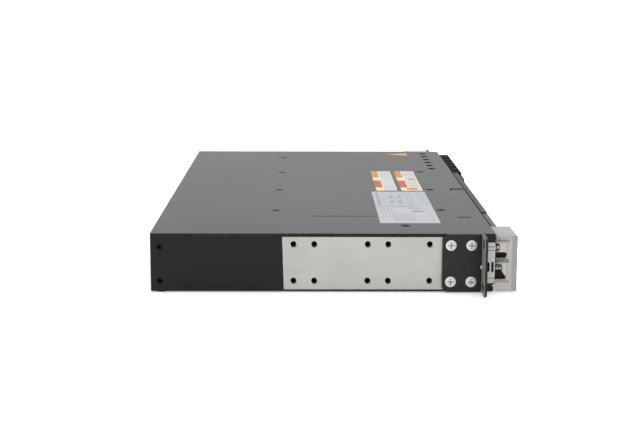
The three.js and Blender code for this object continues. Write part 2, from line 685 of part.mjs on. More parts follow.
// A cross-head screw over a spring washer and a flat washer, with a narrow neck between them.
function terminalScrew(x, z, reach) {
  const face = BLOCK.front + SPOT_FACE.depth - GAP;
  const neck = 2.2;
  const profile = [
    [0, face - reach], [2.6, face - reach], [3.3, face - reach + 0.8], [3.3, face - 2.6], [neck, face - 2.6],
    [neck, face - 2], [3.2, face - 2], [3.2, face - 1.2], [neck, face - 1.2], [neck, face - 0.8],
    [3.7, face - 0.8], [3.7, face], [2, face], [2, face + 12], [0, face + 12],
  ];
  const body = turned(profile, 'y', [x, 0, z]);
  const slot = [face - reach - 1, face - reach + 1.4];
  return cut(body, [
    block([x - 2, x + 2], slot, [z - 0.5, z + 0.5]),
    block([x - 0.5, x + 0.5], slot, [z - 2, z + 2]),
  ]);
}

function terminalBracket() {
  // An upright with a waist, flush with the side wall.
  const outline = [
    [-121.7, 6.2], [-125.3, 6.2], [-127.1, 8.2], [-127.1, 36], [-126.2, 36.9], [-121.7, 36.9],
    [-121.7, 22.8], [-123.2, 21.4], [-123.2, 15.2], [-121.7, 14],
  ];
  const body = prism(outline, 'x', -SIDE, BLOCK.left + 2.9);
  const { z: grooveZ, height, depth } = BRACKET_GROOVE;
  return cut(body, [
    block([-SIDE - 1, BLOCK.left + 4], [-126.25, -124.45], [14.6, 22.2]),
    rod(BRACKET_SCREW.radius + GAP, 'z', 5, 26, [BRACKET_SCREW.x, BRACKET_SCREW.y], 12),
    ...grooveZ.map((z) => block([-SIDE - 1, depth - SIDE], [-128, -121], [z - height / 2, z + height / 2])),
  ]);
}

function coverSide(lowerRearCorner) {
  const outline = new THREE.Shape();
  outline.moveTo(COVER.front, COVER.top);
  outline.lineTo(COVER.front, COVER.bottom);
  lowerRearCorner.forEach(([y, z]) => outline.lineTo(y, z));
  outline.lineTo(COVER.rear, HINGE_Z);
  outline.absarc(HINGE_Y, HINGE_Z, HINGE_RADIUS, 0, Math.PI / 2, false);
  return outline;
}

function terminalCover() {
  const c = COVER;
  // The outer side wall has a hook at its lower rear corner that catches the tray's tongue.
  const hook = [[-128.6, c.bottom], [-124.9, 4.8], [c.rear, 5.4]];
  const plainCorner = [[c.rear, c.bottom]];
  const barrel = rod(HINGE_RADIUS, 'x', c.left, c.right, [HINGE_Y, HINGE_Z]);
  const shell = join([
    prism(coverSide(hook), 'x', c.left, c.left + c.wall),
    prism(coverSide(plainCorner), 'x', c.right - c.wall, c.right),
    block([c.left, c.right], [c.front, HINGE_Y], [c.top - c.wall, c.top]),
    block([c.left, c.right], [c.front, -128.6], [c.bottom, c.bottom + c.wall]),
    block([c.left, c.right], [c.front, c.front + c.wall], [c.bottom, c.top]),
    block([c.left + c.wall - 0.1, c.left + c.wall + WINDOW_RIM.thickness], WINDOW_RIM.y, WINDOW_RIM.z),
    barrel,
  ]);
  const windowX = [c.left - 1, c.left + c.wall + 1];
  const cuts = CABLE_WINDOWS.map((z) => block(windowX, [CABLE_WINDOW_FRONT, c.rear + 1], z));
  // Over each knuckle only a thin sleeve is left, from the top a third of the way round to the back.
  KNUCKLES.forEach(([near, far]) => {
    const span = [near - GAP, far + GAP];
    cuts.push(
      rod(KNUCKLE_RADIUS + PIN_CLEARANCE, 'x', ...span, [HINGE_Y, HINGE_Z]),
      block(span, [HINGE_Y - HINGE_RADIUS - GAP, HINGE_Y + 0.3], [36, HINGE_Z - 0.05]),
      block(span, [HINGE_Y + 0.3, c.rear + 1], [36, HINGE_Z + HINGE_RADIUS / 2]));
  });
  cuts.push(rod(PIN_RADIUS + PIN_CLEARANCE, 'x', c.left - 1, c.right + 1, [HINGE_Y, HINGE_Z], 12));
  return cut(shell, cuts);
}

piece('terminal_block', terminalBlock(), blackPlastic);
piece('positive_bar', poleBar(POLE_Z[0], BAR_TAIL.rear[0]), tinnedCopper);
piece('negative_bar', poleBar(POLE_Z[1], BAR_TAIL.rear[1]), tinnedCopper);
['positive', 'negative'].forEach((pole, level) => POLE_SCREW_X.forEach((x, i) => {
  piece(`terminal_screw_${pole}_${i + 1}`, terminalScrew(x, POLE_Z[level], POLE_SCREW_REACH[level]), zinc);
}));
piece('terminal_bracket', terminalBracket(), zinc);
piece('terminal_bracket_screw',
  rod(BRACKET_SCREW.radius, 'z', 6.6, 25.7, [BRACKET_SCREW.x, BRACKET_SCREW.y], 12), zinc);
piece('terminal_cover', terminalCover(), clearPlastic);
piece('terminal_cover_pin',
  rod(PIN_RADIUS, 'x', COVER.left + 0.2, COVER.right - 0.2, [HINGE_Y, HINGE_Z], 12), zinc);

// ---------------------------------------------------------------- cells and electronics

function cellPack(left) {
  // Flat cells stacked on each other, with a groove at each joint, and tab ends at the front.
  const start = left + (PARTITION_X[1] - PARTITION_X[0] - PACK.width + SHEET) / 2;
  const x = [start, start + PACK.width];
  const groove = 1.4;
  const outline = [];
  for (let i = 0; i < PACK_CELLS; i += 1) {
    const z = PACK.bottom + i * CELL_THICKNESS;
    outline.push([x[1] - groove, z], [x[1], z + groove], [x[1], z + CELL_THICKNESS - groove]);
  }
  const top = PACK.bottom + PACK_CELLS * CELL_THICKNESS;
  outline.push([x[1] - groove, top]);
  const mirrored = outline.map(([u, z]) => [x[0] + x[1] - u, z]).reverse();
  const body = prism([...outline, ...mirrored], 'y', PACK.front, PACK.rear);
  const tabs = [];
  for (let i = 0; i < PACK_CELLS; i += 1) {
    const z = PACK.bottom + (i + 0.5) * CELL_THICKNESS;
    for (const place of CELL_TAB.places) {
      const middle = x[0] + place * PACK.width;
      tabs.push(block(
        [middle - CELL_TAB.halfWidth, middle + CELL_TAB.halfWidth],
        [PACK.front - CELL_TAB.length, PACK.front + 1],
        [z - CELL_TAB.halfThickness, z + CELL_TAB.halfThickness]));
    }
  }
  return join([body, ...tabs]);
}

// The board and the parts that stand on it.
function managementBoard() {
  const top = BOARD.z[1] - 0.1;
  return join([
    block(BOARD.x, BOARD.y, BOARD.z),
    ...[HEAT_SINK, RELAY, CHIP].flatMap((kind) => kind.x.map((x) => block(x, kind.y, [top, kind.top]))),
    ...CAPACITOR.x.map((x) => rod(CAPACITOR.radius, 'z', top, CAPACITOR.top, [x, CAPACITOR.y])),
  ]);
}

function mainContactor() {
  const front = CONTACTOR.y[0];
  return join([
    block(CONTACTOR.x, CONTACTOR.y, CONTACTOR.z),
    ...CONTACTOR_STUD.x.map((x) => rod(
      CONTACTOR_STUD.radius, 'y', front - 6, front + 1, [x, CONTACTOR_STUD.z], 12)),
  ]);
}

function mainFuse() {
  const { x, z, y, radius } = FUSE;
  const { halfWidth, halfThickness, length } = FUSE_BLADE;
  const blades = [[y[0] - length, y[0] + 1], [y[1] - 1, y[1] + length]].map((span) => block(
    [x - halfWidth, x + halfWidth], span, [z - halfThickness, z + halfThickness]));
  return join([rod(radius, 'y', ...y, [x, z], FINE), ...blades]);
}

PARTITION_X.slice(0, -1).forEach((x, i) => piece(`cell_pack_${i + 1}`, cellPack(x), foilPouch));
piece('tab_board', block(TAB_BOARD.x, TAB_BOARD.y, TAB_BOARD.z), circuitBoard);
piece('management_board', managementBoard(), circuitBoard);
piece('main_contactor', mainContactor(), blackPlastic);
piece('main_fuse', mainFuse(), ceramic);

const rackBattery = new THREE.Group();
rackBattery.add(chassis);

export default rackBattery;
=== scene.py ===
import json
import math

import bmesh
import bpy
from mathutils import Matrix, Vector


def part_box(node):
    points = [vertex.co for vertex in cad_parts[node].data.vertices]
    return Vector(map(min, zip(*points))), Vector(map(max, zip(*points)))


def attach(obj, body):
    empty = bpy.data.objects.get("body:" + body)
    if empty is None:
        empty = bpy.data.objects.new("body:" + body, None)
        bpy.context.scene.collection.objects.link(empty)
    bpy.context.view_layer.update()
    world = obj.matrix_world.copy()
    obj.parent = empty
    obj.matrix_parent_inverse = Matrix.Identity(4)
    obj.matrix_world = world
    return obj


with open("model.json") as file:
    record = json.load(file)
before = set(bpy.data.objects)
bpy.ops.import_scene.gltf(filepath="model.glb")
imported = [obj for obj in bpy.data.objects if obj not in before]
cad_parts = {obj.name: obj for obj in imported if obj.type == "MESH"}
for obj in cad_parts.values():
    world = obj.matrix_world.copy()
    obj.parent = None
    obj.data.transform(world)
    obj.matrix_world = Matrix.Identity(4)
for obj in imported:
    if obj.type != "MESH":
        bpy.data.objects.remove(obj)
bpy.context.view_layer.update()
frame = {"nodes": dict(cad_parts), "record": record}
nodes = frame["nodes"]

MM = 0.001
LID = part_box("top_cover")
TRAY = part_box("base_tray")
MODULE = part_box("control_module_face")
SIDE = TRAY[1].x
TRAY_BOTTOM = TRAY[0].z
MIDDLE_Y = (LID[0].y + LID[1].y) / 2
WHITE = (1, 1, 1)


# ---------------------------------------------------------------- camera and studio

CAMERA_ANGLES = (-0.558, 10.573, 0.185)
CAMERA_PLACE = (-1.15418, MIDDLE_Y + 0.01126, TRAY_BOTTOM + 0.23269)
CAMERA_LENS = 72.93
FULL_FRAME = 36
WORLD_STRENGTH = 1.0
FLOOR_LEVEL = 0.85
FLOOR_GLOW = 0.35
FLOOR_REACH = 12
AIM = (0, 0, 0.02)
LIGHTS = [
    # name, place, target, size and power
    ("overhead", (0, 0, 1.6), AIM, (2.2, 2.2), 9),
    ("left_fill", (-1.7, -0.3, 0.7), AIM, (1.4, 1.0), 0.6),
    ("front_fill", (0.2, -1.8, 0.8), AIM, (1.8, 1.0), 6),
    ("low_back", (2.6, 0, 0.75), (0, 0, 0.2), (5.0, 1.5), 10.5),
]


def make_camera():
    """A long-lens view from the left side, slightly above, with the front at the right."""
    yaw, pitch, roll = (math.radians(angle) for angle in CAMERA_ANGLES)
    ahead = math.cos(pitch)
    forward = Vector((ahead * math.cos(yaw), ahead * math.sin(yaw), -math.sin(pitch)))
    level = Vector((math.sin(yaw), -math.cos(yaw), 0))
    up = level.cross(forward)
    right = level * math.cos(roll) + up * math.sin(roll)
    top = up * math.cos(roll) - level * math.sin(roll)
    data = bpy.data.cameras.new("studio_camera")
    data.sensor_width = FULL_FRAME
    data.lens = CAMERA_LENS
    data.clip_start, data.clip_end = 0.05, 30
    camera = bpy.data.objects.new("studio_camera", data)
    camera.location = CAMERA_PLACE
    turn = Matrix((right, top, -forward)).transposed()
    camera.rotation_mode = "QUATERNION"
    camera.rotation_quaternion = turn.to_quaternion()
    bpy.context.scene.collection.objects.link(camera)
    bpy.context.scene.camera = camera


def area_light(name, place, target, size, power):
    """A rectangular lamp at a place, turned to a target."""
    data = bpy.data.lights.new(name, "AREA")
    data.shape = "RECTANGLE"
    data.size, data.size_y = size
    data.energy = power
    lamp = bpy.data.objects.new(name, data)
    lamp.location = place
    lamp.rotation_mode = "QUATERNION"
    lamp.rotation_quaternion = (Vector(place) - Vector(target)).to_track_quat("Z", "Y")
    bpy.context.scene.collection.objects.link(lamp)


def make_floor():
    """The plain pale floor of the studio, which gives off some light of its own."""
    far = FLOOR_REACH
    mesh = bpy.data.meshes.new("floor")
    mesh.from_pydata([(-far, -far, 0), (far, -far, 0), (far, far, 0), (-far, far, 0)], [], [(0, 1, 2, 3)])
    floor = bpy.data.objects.new("floor", mesh)
    bpy.context.scene.collection.objects.link(floor)
    paint = bpy.data.materials.new("floor")
    paint.use_nodes = True
    shader = paint.node_tree.nodes["Principled BSDF"]
    shader.inputs["Base Color"].default_value = (FLOOR_LEVEL, FLOOR_LEVEL, FLOOR_LEVEL, 1)
    shader.inputs["Roughness"].default_value = 0.9
    shader.inputs["Emission Color"].default_value = (*WHITE, 1)
    shader.inputs["Emission Strength"].default_value = FLOOR_GLOW
    mesh.materials.append(paint)


def make_studio():
    """The white surroundings, the lamps and the floor."""
    scene = bpy.context.scene
    scene.view_settings.view_transform = "Standard"
    world = bpy.data.worlds.new("studio")
    world.use_nodes = True
    backdrop = world.node_tree.nodes["Background"]
    backdrop.inputs["Color"].default_value = (*WHITE, 1)
    backdrop.inputs["Strength"].default_value = WORLD_STRENGTH
    scene.world = world
    for light in LIGHTS:
        area_light(*light)
    make_floor()


make_camera()
make_studio()


# ---------------------------------------------------------------- material graphs

COAT_SPECULAR = 0.24
SHEET_AND_GAP = 2.2 * MM
BARE_ZINC = {"front": -92 * MM, "rear": 28.7 * MM, "lean": 0.03, "bottom": 1.4 * MM, "top": 40.9 * MM}
FLANGE_REAR = -117
BRACKET_GROOVES = (33.6, 30.9, 10)
BREAKER_PITCH = 20.76
BREAKER_ROW_LEFT = 88.8
BREAKER_TOP = 40.5 * MM
COVER_WALL = 1.5 * MM
COVER_WARM_FRONT = (-140.2 * MM, -138.8 * MM)
COVER_BAND_Y = (-137.6 * MM, -127 * MM)
BROWN_PAINTED_SHADOW = (0.3, 0.26, 0.235)
GREEN_PAINTED_SHADOW = (0.19, 0.21, 0.185)
# Painted shadows of the window rim, as bands on the cover's outer end wall.
COVER_BANDS = [
    # bottom and top in mm, strength and colour
    (37, 38.9, 0.75, BROWN_PAINTED_SHADOW),
    (6.7, 8.6, 0.75, BROWN_PAINTED_SHADOW),
    (21.5, 24.7, 0.85, GREEN_PAINTED_SHADOW),
]


class Graph:
    """A material's node tree, with a short call for each kind of node used here."""

    def __init__(self, name):
        self.material = bpy.data.materials.new(name)
        self.material.use_nodes = True
        self.tree = self.material.node_tree
        self.shader = self.tree.nodes["Principled BSDF"]
        self.place = self.tree.nodes.new("ShaderNodeTexCoord").outputs["Object"]

    def put(self, socket, value):
        if isinstance(value, bpy.types.NodeSocket):
            self.tree.links.new(value, socket)
        elif isinstance(value, tuple) and len(value) == 3 and socket.type == "RGBA":
            socket.default_value = (*value, 1)
        else:
            socket.default_value = value

    def set(self, **values):
        for name, value in values.items():
            self.put(self.shader.inputs[name.replace("_", " ")], value)
        return self

    def math(self, operation, a, b=0.0, clamp=False):
        node = self.tree.nodes.new("ShaderNodeMath")
        node.operation = operation
        node.use_clamp = clamp
        self.put(node.inputs[0], a)
        self.put(node.inputs[1], b)
        return node.outputs[0]

    def noise(self, scale, detail=2.0, roughness=0.5, stretch=None):
        place = self.place
        if stretch:
            mapping = self.tree.nodes.new("ShaderNodeMapping")
            mapping.inputs["Scale"].default_value = stretch
            self.put(mapping.inputs["Vector"], place)
            place = mapping.outputs["Vector"]
        node = self.tree.nodes.new("ShaderNodeTexNoise")
        node.inputs["Scale"].default_value = scale
        node.inputs["Detail"].default_value = detail
        node.inputs["Roughness"].default_value = roughness
        self.put(node.inputs["Vector"], place)
        return node.outputs["Fac"]

    def cells(self, scale):
        node = self.tree.nodes.new("ShaderNodeTexVoronoi")
        node.inputs["Scale"].default_value = scale
        self.put(node.inputs["Vector"], self.place)
        return node.outputs["Distance"], node.outputs["Color"]

    def ramp(self, value, low, high, to_low=0.0, to_high=1.0):
        node = self.tree.nodes.new("ShaderNodeMapRange")
        node.interpolation_type = "SMOOTHSTEP"
        for name, number in (("Value", value), ("From Min", low), ("From Max", high),
                             ("To Min", to_low), ("To Max", to_high)):
            self.put(node.inputs[name], number)
        return node.outputs["Result"]

    def mix(self, factor, a, b):
        node = self.tree.nodes.new("ShaderNodeMix")
        node.data_type = "RGBA"
        self.put(node.inputs[0], factor)
        self.put(node.inputs[6], a)
        self.put(node.inputs[7], b)
        return node.outputs[2]

    def blend(self, factor, a, b):
        node = self.tree.nodes.new("ShaderNodeMix")
        node.data_type = "FLOAT"
        self.put(node.inputs[0], factor)
        self.put(node.inputs[2], a)
        self.put(node.inputs[3], b)
        return node.outputs[0]

    def axes(self):
        node = self.tree.nodes.new("ShaderNodeSeparateXYZ")
        self.put(node.inputs[0], self.place)
        return node.outputs

    def inside(self, value, low, high, soft=0.15 * MM):
        rise = self.ramp(value, low - soft, low + soft)
        fall = self.ramp(value, high - soft, high + soft, 1.0, 0.0)
        return self.math("MULTIPLY", rise, fall)

    def bump(self, height, distance, strength=1.0, normal=None):
        node = self.tree.nodes.new("ShaderNodeBump")
        node.inputs["Strength"].default_value = strength
        node.inputs["Distance"].default_value = distance
        self.put(node.inputs["Height"], height)
        if normal is not None:
            self.put(node.inputs["Normal"], normal)
        return node.outputs["Normal"]

    def edges(self, box, width):
        """1 along the outer edges of a box and 0 elsewhere: the second nearest face counts."""
        gaps = []
        for axis, value in enumerate(self.axes()):
            low = self.math("ABSOLUTE", self.math("SUBTRACT", value, box[0][axis]))
            high = self.math("ABSOLUTE", self.math("SUBTRACT", value, box[1][axis]))
            gaps.append(self.math("MINIMUM", low, high))
        near = self.math("MINIMUM", self.math("MINIMUM", gaps[0], gaps[1]), gaps[2])
        far = self.math("MAXIMUM", self.math("MAXIMUM", gaps[0], gaps[1]), gaps[2])
        total = self.math("ADD", self.math("ADD", gaps[0], gaps[1]), gaps[2])
        second = self.math("SUBTRACT", self.math("SUBTRACT", total, near), far)
        return self.ramp(second, 0.0, width, 1.0, 0.0)


def grey(level, tint=(1, 1, 1)):
    """A linear colour from an 8-bit sRGB level."""
    value = ((level / 255 + 0.055) / 1.055) ** 2.4
    return tuple(value * t for t in tint)


def srgb(*levels):
    """A linear colour from three 8-bit sRGB levels."""
    return tuple(((v / 255 + 0.055) / 1.055) ** 2.4 for v in levels)


def coated(graph, colour, box=None, sheen=COAT_SPECULAR):
    """Powder coat: orange peel, a fine speckle, faint handling marks and thin edges painted paler, partly
    as chipped wear and partly as a painted highlight.
    """
    drift = graph.noise(9, 3)
    speckle = graph.noise(2600, 1)
    dark = tuple(c * 0.9 for c in colour)
    light = tuple(c * 1.1 for c in colour)
    base = graph.mix(graph.ramp(drift, 0.3, 0.7), dark, light)
    base = graph.mix(graph.ramp(speckle, 0.58, 0.72, 0, 0.3), base, tuple(c * 1.9 for c in colour))
    scuff = graph.ramp(graph.noise(60, 4, 0.7, (1, 0.12, 1)), 0.62, 0.78, 0, 0.2)
    rough = graph.blend(scuff, graph.ramp(drift, 0.2, 0.8, 0.41, 0.43), 0.38)
    if box:
        chips = graph.ramp(graph.noise(240, 3), 0.45, 0.7)
        # Paler patches along the box's edges: chipped wear together with a painted edge highlight.
        worn_and_highlit_edges = graph.math("MULTIPLY", graph.edges(box, 0.5 * MM), chips)
        base = graph.mix(graph.math("MULTIPLY", worn_and_highlit_edges, 0.35), base, (0.16, 0.16, 0.155))
    graph.shader.inputs["Specular IOR Level"].default_value = sheen
    peel = graph.bump(graph.noise(700, 2), 0.03 * MM, 0.5)
    grain = graph.bump(speckle, 0.012 * MM, 0.6, peel)
    return base, rough, grain


def powder_coat(name, colour, box, sheen=COAT_SPECULAR):
    """The plain coat of one part, its box's edges painted paler in patches: partly wear, partly a painted
    highlight.
    """
    graph = Graph(name)
    base, rough, grain = coated(graph, colour, box, sheen)
    graph.set(Base_Color=base, Roughness=rough, Normal=grain, Metallic=0.0)
    return graph.material


def zinc_look(graph):
    """Bright zinc: pale, slightly warm, with a faint spangle and rolling lines."""
    distance, spangle = graph.cells(260)
    lines = graph.noise(900, 2, 0.6, (1, 0.06, 1))
    tone = graph.ramp(graph.noise(24, 3), 0.3, 0.7)
    base = graph.mix(tone, (0.412, 0.418, 0.393), (0.45, 0.455, 0.428))
    base = graph.mix(graph.ramp(distance, 0.1, 0.7, 0.0, 0.1), base, (0.34, 0.35, 0.33))
    rough = graph.ramp(lines, 0.3, 0.7, 0.38, 0.52)
    return base, rough, graph.bump(lines, 0.006 * MM, 0.5)


def zinc():
    """Plain zinc for the pieces inside and the small hardware."""
    graph = Graph("zinc_plate")
    base, rough, grain = zinc_look(graph)
    graph.set(Base_Color=base, Roughness=rough, Normal=grain, Metallic=0.85)
    return graph.material


def tray_coat():
    """The tray's black coat, masked off over a bare zinc rectangle on each outer side."""
    graph = Graph("tray_black_coat")
    # Painted shade: the tray takes a darker, less shiny copy of the lid's black coat, so its sides read
    # darker.
    base, rough, grain = coated(graph, grey(20, (1, 1, 0.93)), TRAY, 0.19)
    bare, bare_rough, _ = zinc_look(graph)
    x, y, z = graph.axes()
    outer = graph.math("GREATER_THAN", graph.math("ABSOLUTE", x), SIDE - 1.3 * MM)
    edge = graph.math("MULTIPLY", graph.math("SUBTRACT", graph.noise(500, 2), 0.5), 0.5 * MM)
    lean = graph.math("SUBTRACT", edge, graph.math("MULTIPLY", z, BARE_ZINC["lean"]))
    front, rear = MIDDLE_Y + BARE_ZINC["front"], MIDDLE_Y + BARE_ZINC["rear"]
    bottom, top = TRAY_BOTTOM + BARE_ZINC["bottom"], TRAY_BOTTOM + BARE_ZINC["top"]
    along = graph.inside(graph.math("ADD", y, lean), front, rear)
    level = graph.inside(graph.math("ADD", z, edge), bottom, top)
    mask = graph.math("MULTIPLY", outer, graph.math("MULTIPLY", along, level))
    graph.set(
        Base_Color=graph.mix(mask, base, bare),
        Roughness=graph.blend(mask, rough, bare_rough),
        Metallic=graph.math("MULTIPLY", mask, 0.75),
        Normal=graph.bump(graph.noise(900, 2), 0.015 * MM, 0.5),
    )
    return graph.material


def ear_coat():
    """The ear's black coat, with a painted reflection making the back of the flange paler."""
    graph = Graph("ear_black_coat")
    base, rough, grain = coated(graph, grey(26, (1, 1, 0.93)))
    x, y, _ = graph.axes()
    # Painted reflection: the back face of each flange is painted pale grey in soft clouds.
    outer = graph.math("GREATER_THAN", graph.math("ABSOLUTE", x), SIDE + 2.5 * MM)
    rear = MIDDLE_Y + FLANGE_REAR * MM
    back = graph.inside(y, rear - 0.2 * MM, rear + 0.2 * MM, 0.05 * MM)
    cloud = graph.ramp(graph.noise(120, 3), 0.3, 0.7, 0.7, 1.0)
    flange_back_reflection = graph.math("MULTIPLY", graph.math("MULTIPLY", outer, back), cloud)
    colour = graph.mix(flange_back_reflection, base, grey(132, (1, 1.01, 0.9)))
    graph.set(Base_Color=colour, Roughness=rough, Normal=grain, Metallic=0.0)
    return graph.material


def ear_screw_zinc():
    """Bright zinc for the ear's screw heads, with painted shade in the recess, below the face of the ear.
    """
    graph = Graph("ear_screw_zinc")
    base, rough, grain = zinc_look(graph)
    x, _, _ = graph.axes()
    # Painted shade: everything below the ear's face, the cross recess, is darkened.
    deep = graph.math("LESS_THAN", graph.math("ABSOLUTE", x), SIDE + SHEET_AND_GAP)
    bright = graph.mix(0.8, base, (0.66, 0.665, 0.645))
    colour = graph.mix(deep, bright, (0.42, 0.42, 0.4))
    graph.set(Base_Color=colour, Roughness=rough, Normal=grain, Metallic=0.45)
    return graph.material


def bracket_zinc():
    """Pale zinc with painted shade in the bracket's three grooves."""
    graph = Graph("bracket_zinc")
    base, rough, grain = zinc_look(graph)
    base = graph.mix(0.5, base, (0.47, 0.48, 0.475))
    level = graph.axes()[2]
    # Painted shade: a dark line along each of the three grooves.
    for z in BRACKET_GROOVES:
        groove = graph.inside(level, TRAY_BOTTOM + (z - 0.3) * MM, TRAY_BOTTOM + (z + 0.3) * MM)
        base = graph.mix(groove, base, (0.2, 0.2, 0.2))
    graph.set(Base_Color=base, Roughness=rough, Normal=grain, Metallic=0.5)
    return graph.material


def moulded(name, colour, roughness, grain, shine=0.5):
    """Moulded plastic or rubber: a slow drift of tone and a fine grain."""
    graph = Graph(name)
    graph.shader.inputs["Specular IOR Level"].default_value = shine
    drift = graph.ramp(graph.noise(35, 3), 0.3, 0.7)
    base = graph.mix(drift, tuple(c * 0.85 for c in colour), tuple(min(1, c * 1.15) for c in colour))
    texture = graph.noise(1900, 2)
    rough = graph.ramp(graph.noise(140, 3), 0.3, 0.7, roughness - 0.06, roughness + 0.06)
    graph.set(Base_Color=base, Roughness=rough, Normal=graph.bump(texture, grain * MM, 0.6))
    return graph.material


def breaker_plastic():
    """Dark moulded plastic with a rib across the top, at the left of each breaker, whose top is painted
    paler as a painted highlight.
    """
    graph = Graph("breaker_plastic")
    graph.shader.inputs["Specular IOR Level"].default_value = 0.01
    drift = graph.ramp(graph.noise(35, 3), 0.3, 0.7)
    base = graph.mix(drift, grey(20), grey(24))
    x, _, z = graph.axes()
    along = graph.math("SUBTRACT", x, BREAKER_ROW_LEFT * MM)
    phase = graph.math("FRACT", graph.math("DIVIDE", along, BREAKER_PITCH * MM))
    rib = graph.math("MULTIPLY", graph.ramp(phase, 0.0, 0.06), graph.ramp(phase, 0.18, 0.26, 1.0, 0.0))
    top = graph.math("GREATER_THAN", z, TRAY_BOTTOM + BREAKER_TOP)
    # Painted highlight: the rib is painted paler on the top face only.
    base = graph.mix(graph.math("MULTIPLY", rib, top), base, grey(70))
    rough = graph.ramp(graph.noise(140, 3), 0.3, 0.7, 0.69, 0.81)
    grain = graph.bump(graph.noise(1900, 2), 0.03 * MM, 0.6)
    graph.set(Base_Color=base, Roughness=rough, Normal=graph.bump(rib, 0.1 * MM, 0.5, grain))
    return graph.material


def metal(name, colour, roughness):
    """Bare metal: a slow drift of tone and a fine grain."""
    graph = Graph(name)
    fine = graph.noise(1400, 2, 0.6)
    tone = graph.ramp(graph.noise(90, 3), 0.3, 0.7)
    base = graph.mix(tone, tuple(c * 0.86 for c in colour), colour)
    rough = graph.ramp(fine, 0.3, 0.7, roughness - 0.07, roughness + 0.07)
    graph.set(Base_Color=base, Roughness=rough, Metallic=1.0, Normal=graph.bump(fine, 0.005 * MM, 0.6))
    return graph.material


def clear_polycarbonate():
    """Clear plastic gone slightly milky, with painted shade making it greyest on top, fine scratches and
    bands of painted shadow on its end wall.
    """
    graph = Graph("clear_polycarbonate")
    haze = graph.ramp(graph.noise(28, 3), 0.3, 0.7, 0.16, 0.26)
    scratch = graph.noise(420, 3, 0.7, (0.08, 1, 1))
    cloud = graph.ramp(graph.noise(16, 2), 0.3, 0.7)
    tone = graph.mix(cloud, (0.57, 0.57, 0.56), (0.63, 0.63, 0.615))
    x, y, z = graph.axes()
    warm = graph.ramp(y, *(MIDDLE_Y + edge for edge in COVER_WARM_FRONT))
    tone = graph.mix(warm, tone, graph.mix(cloud, (0.8, 0.775, 0.75), (0.87, 0.845, 0.82)))
    outer = graph.math("LESS_THAN", x, COVER_WALL - SIDE)
    beside = graph.inside(y, *(MIDDLE_Y + edge for edge in COVER_BAND_Y), 0.4 * MM)
    # Painted shadow: bands on the outer end wall, beside the window rim.
    for low, high, strength, shade in COVER_BANDS:
        band = graph.inside(z, TRAY_BOTTOM + low * MM, TRAY_BOTTOM + high * MM, 0.4 * MM)
        reach = graph.math("MULTIPLY", outer, strength)
        tone = graph.mix(graph.math("MULTIPLY", graph.math("MULTIPLY", band, beside), reach), tone, shade)
    # Painted shade: the top face is darkened.
    top = graph.math("GREATER_THAN", z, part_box("terminal_cover")[1].z - 0.3 * MM)
    tone = graph.mix(top, tone, (0.25, 0.248, 0.243))
    graph.set(Base_Color=tone, Roughness=haze, Normal=graph.bump(scratch, 0.004 * MM, 0.5))
    graph.shader.inputs["Transmission Weight"].default_value = 0.68
    graph.shader.inputs["IOR"].default_value = 1.22
    return graph.material


def circuit_board():
    """Green board with traces, and darker parts where it is raised."""
    graph = Graph("circuit_board")
    _, _, z = graph.axes()
    trace = graph.ramp(graph.noise(260, 1, 0.5, (1, 0.25, 1)), 0.52, 0.56)
    base = graph.mix(trace, (0.01, 0.07, 0.035), (0.02, 0.13, 0.06))
    raised = graph.math("GREATER_THAN", z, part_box("management_board")[0].z + 1.8 * MM)
    base = graph.mix(raised, base, (0.03, 0.03, 0.032))
    graph.set(Base_Color=base, Roughness=graph.ramp(trace, 0, 1, 0.3, 0.42),
              Normal=graph.bump(trace, 0.03 * MM))
    return graph.material


def cell_foil():
    """The creased foil of the flat cells."""
    graph = Graph("cell_foil")
    crease = graph.noise(70, 5, 0.65)
    base = graph.mix(graph.ramp(crease, 0.3, 0.7), (0.42, 0.43, 0.45), (0.6, 0.61, 0.63))
    graph.set(Base_Color=base, Roughness=graph.ramp(crease, 0.3, 0.7, 0.3, 0.45), Metallic=0.9,
              Normal=graph.bump(crease, 0.25 * MM, 0.6))
    return graph.material


LOOKS = {
    "black_coat": powder_coat("black_coat", grey(26, (1, 1, 0.95)), LID),
    "module_coat": powder_coat("module_coat", grey(38), MODULE, 0.07),
    "zinc_plate": zinc(),
    "rubber_pad": moulded("pad_rubber", grey(32), 0.8, 0.05),
    "black_plastic": moulded("black_plastic", grey(24), 0.6, 0.03, 0.1),
    "toggle_plastic": moulded("toggle_plastic", grey(28), 0.4, 0.01, 0.3),
    "white_plastic": moulded("white_plastic", grey(226, (1, 1, 0.98)), 0.35, 0.01),
    "light_pipe": moulded("light_pipe", grey(214), 0.25, 0.01),
    "clear_cover": clear_polycarbonate(),
    "tinned_copper": metal("tinned_copper", (0.72, 0.6, 0.46), 0.32),
    "cell_foil": cell_foil(),
    "circuit_board": circuit_board(),
    "fuse_ceramic": moulded("fuse_ceramic", grey(214, (1, 0.96, 0.88)), 0.4, 0.01),
}

BEVELS = {
    "base_tray": 0.35, "top_cover": 0.3, "left_ear": 0.35, "right_ear": 0.35, "front_panel": 0.25,
    "control_module_face": 0.6, "terminal_block": 0.3, "terminal_cover": 0.5, "terminal_bracket": 0.3,
    "status_light_bar": 0.2, "network_ports": 0.3, "alarm_connector": 0.3, "ground_screw": 0.15,
    "power_button": 0.1, "reset_button": 0.1, "address_dial": 0.2, "positive_bar": 0.2, "negative_bar": 0.2,
    "main_contactor": 1.0, "main_fuse": 0.3,
}
for number in range(1, 7):
    BEVELS[f"breaker_{number}"] = 0.5
    BEVELS[f"breaker_toggle_{number}"] = 0.4


def soften(piece, width):
    """Rounds the sharp edges of a piece and shades it smoothly between them."""
    bevel = piece.modifiers.new("edge_round", "BEVEL")
    bevel.width = width * MM
    bevel.segments = 2
    bevel.limit_method = "ANGLE"
    bevel.angle_limit = math.radians(40)
    bevel.harden_normals = True


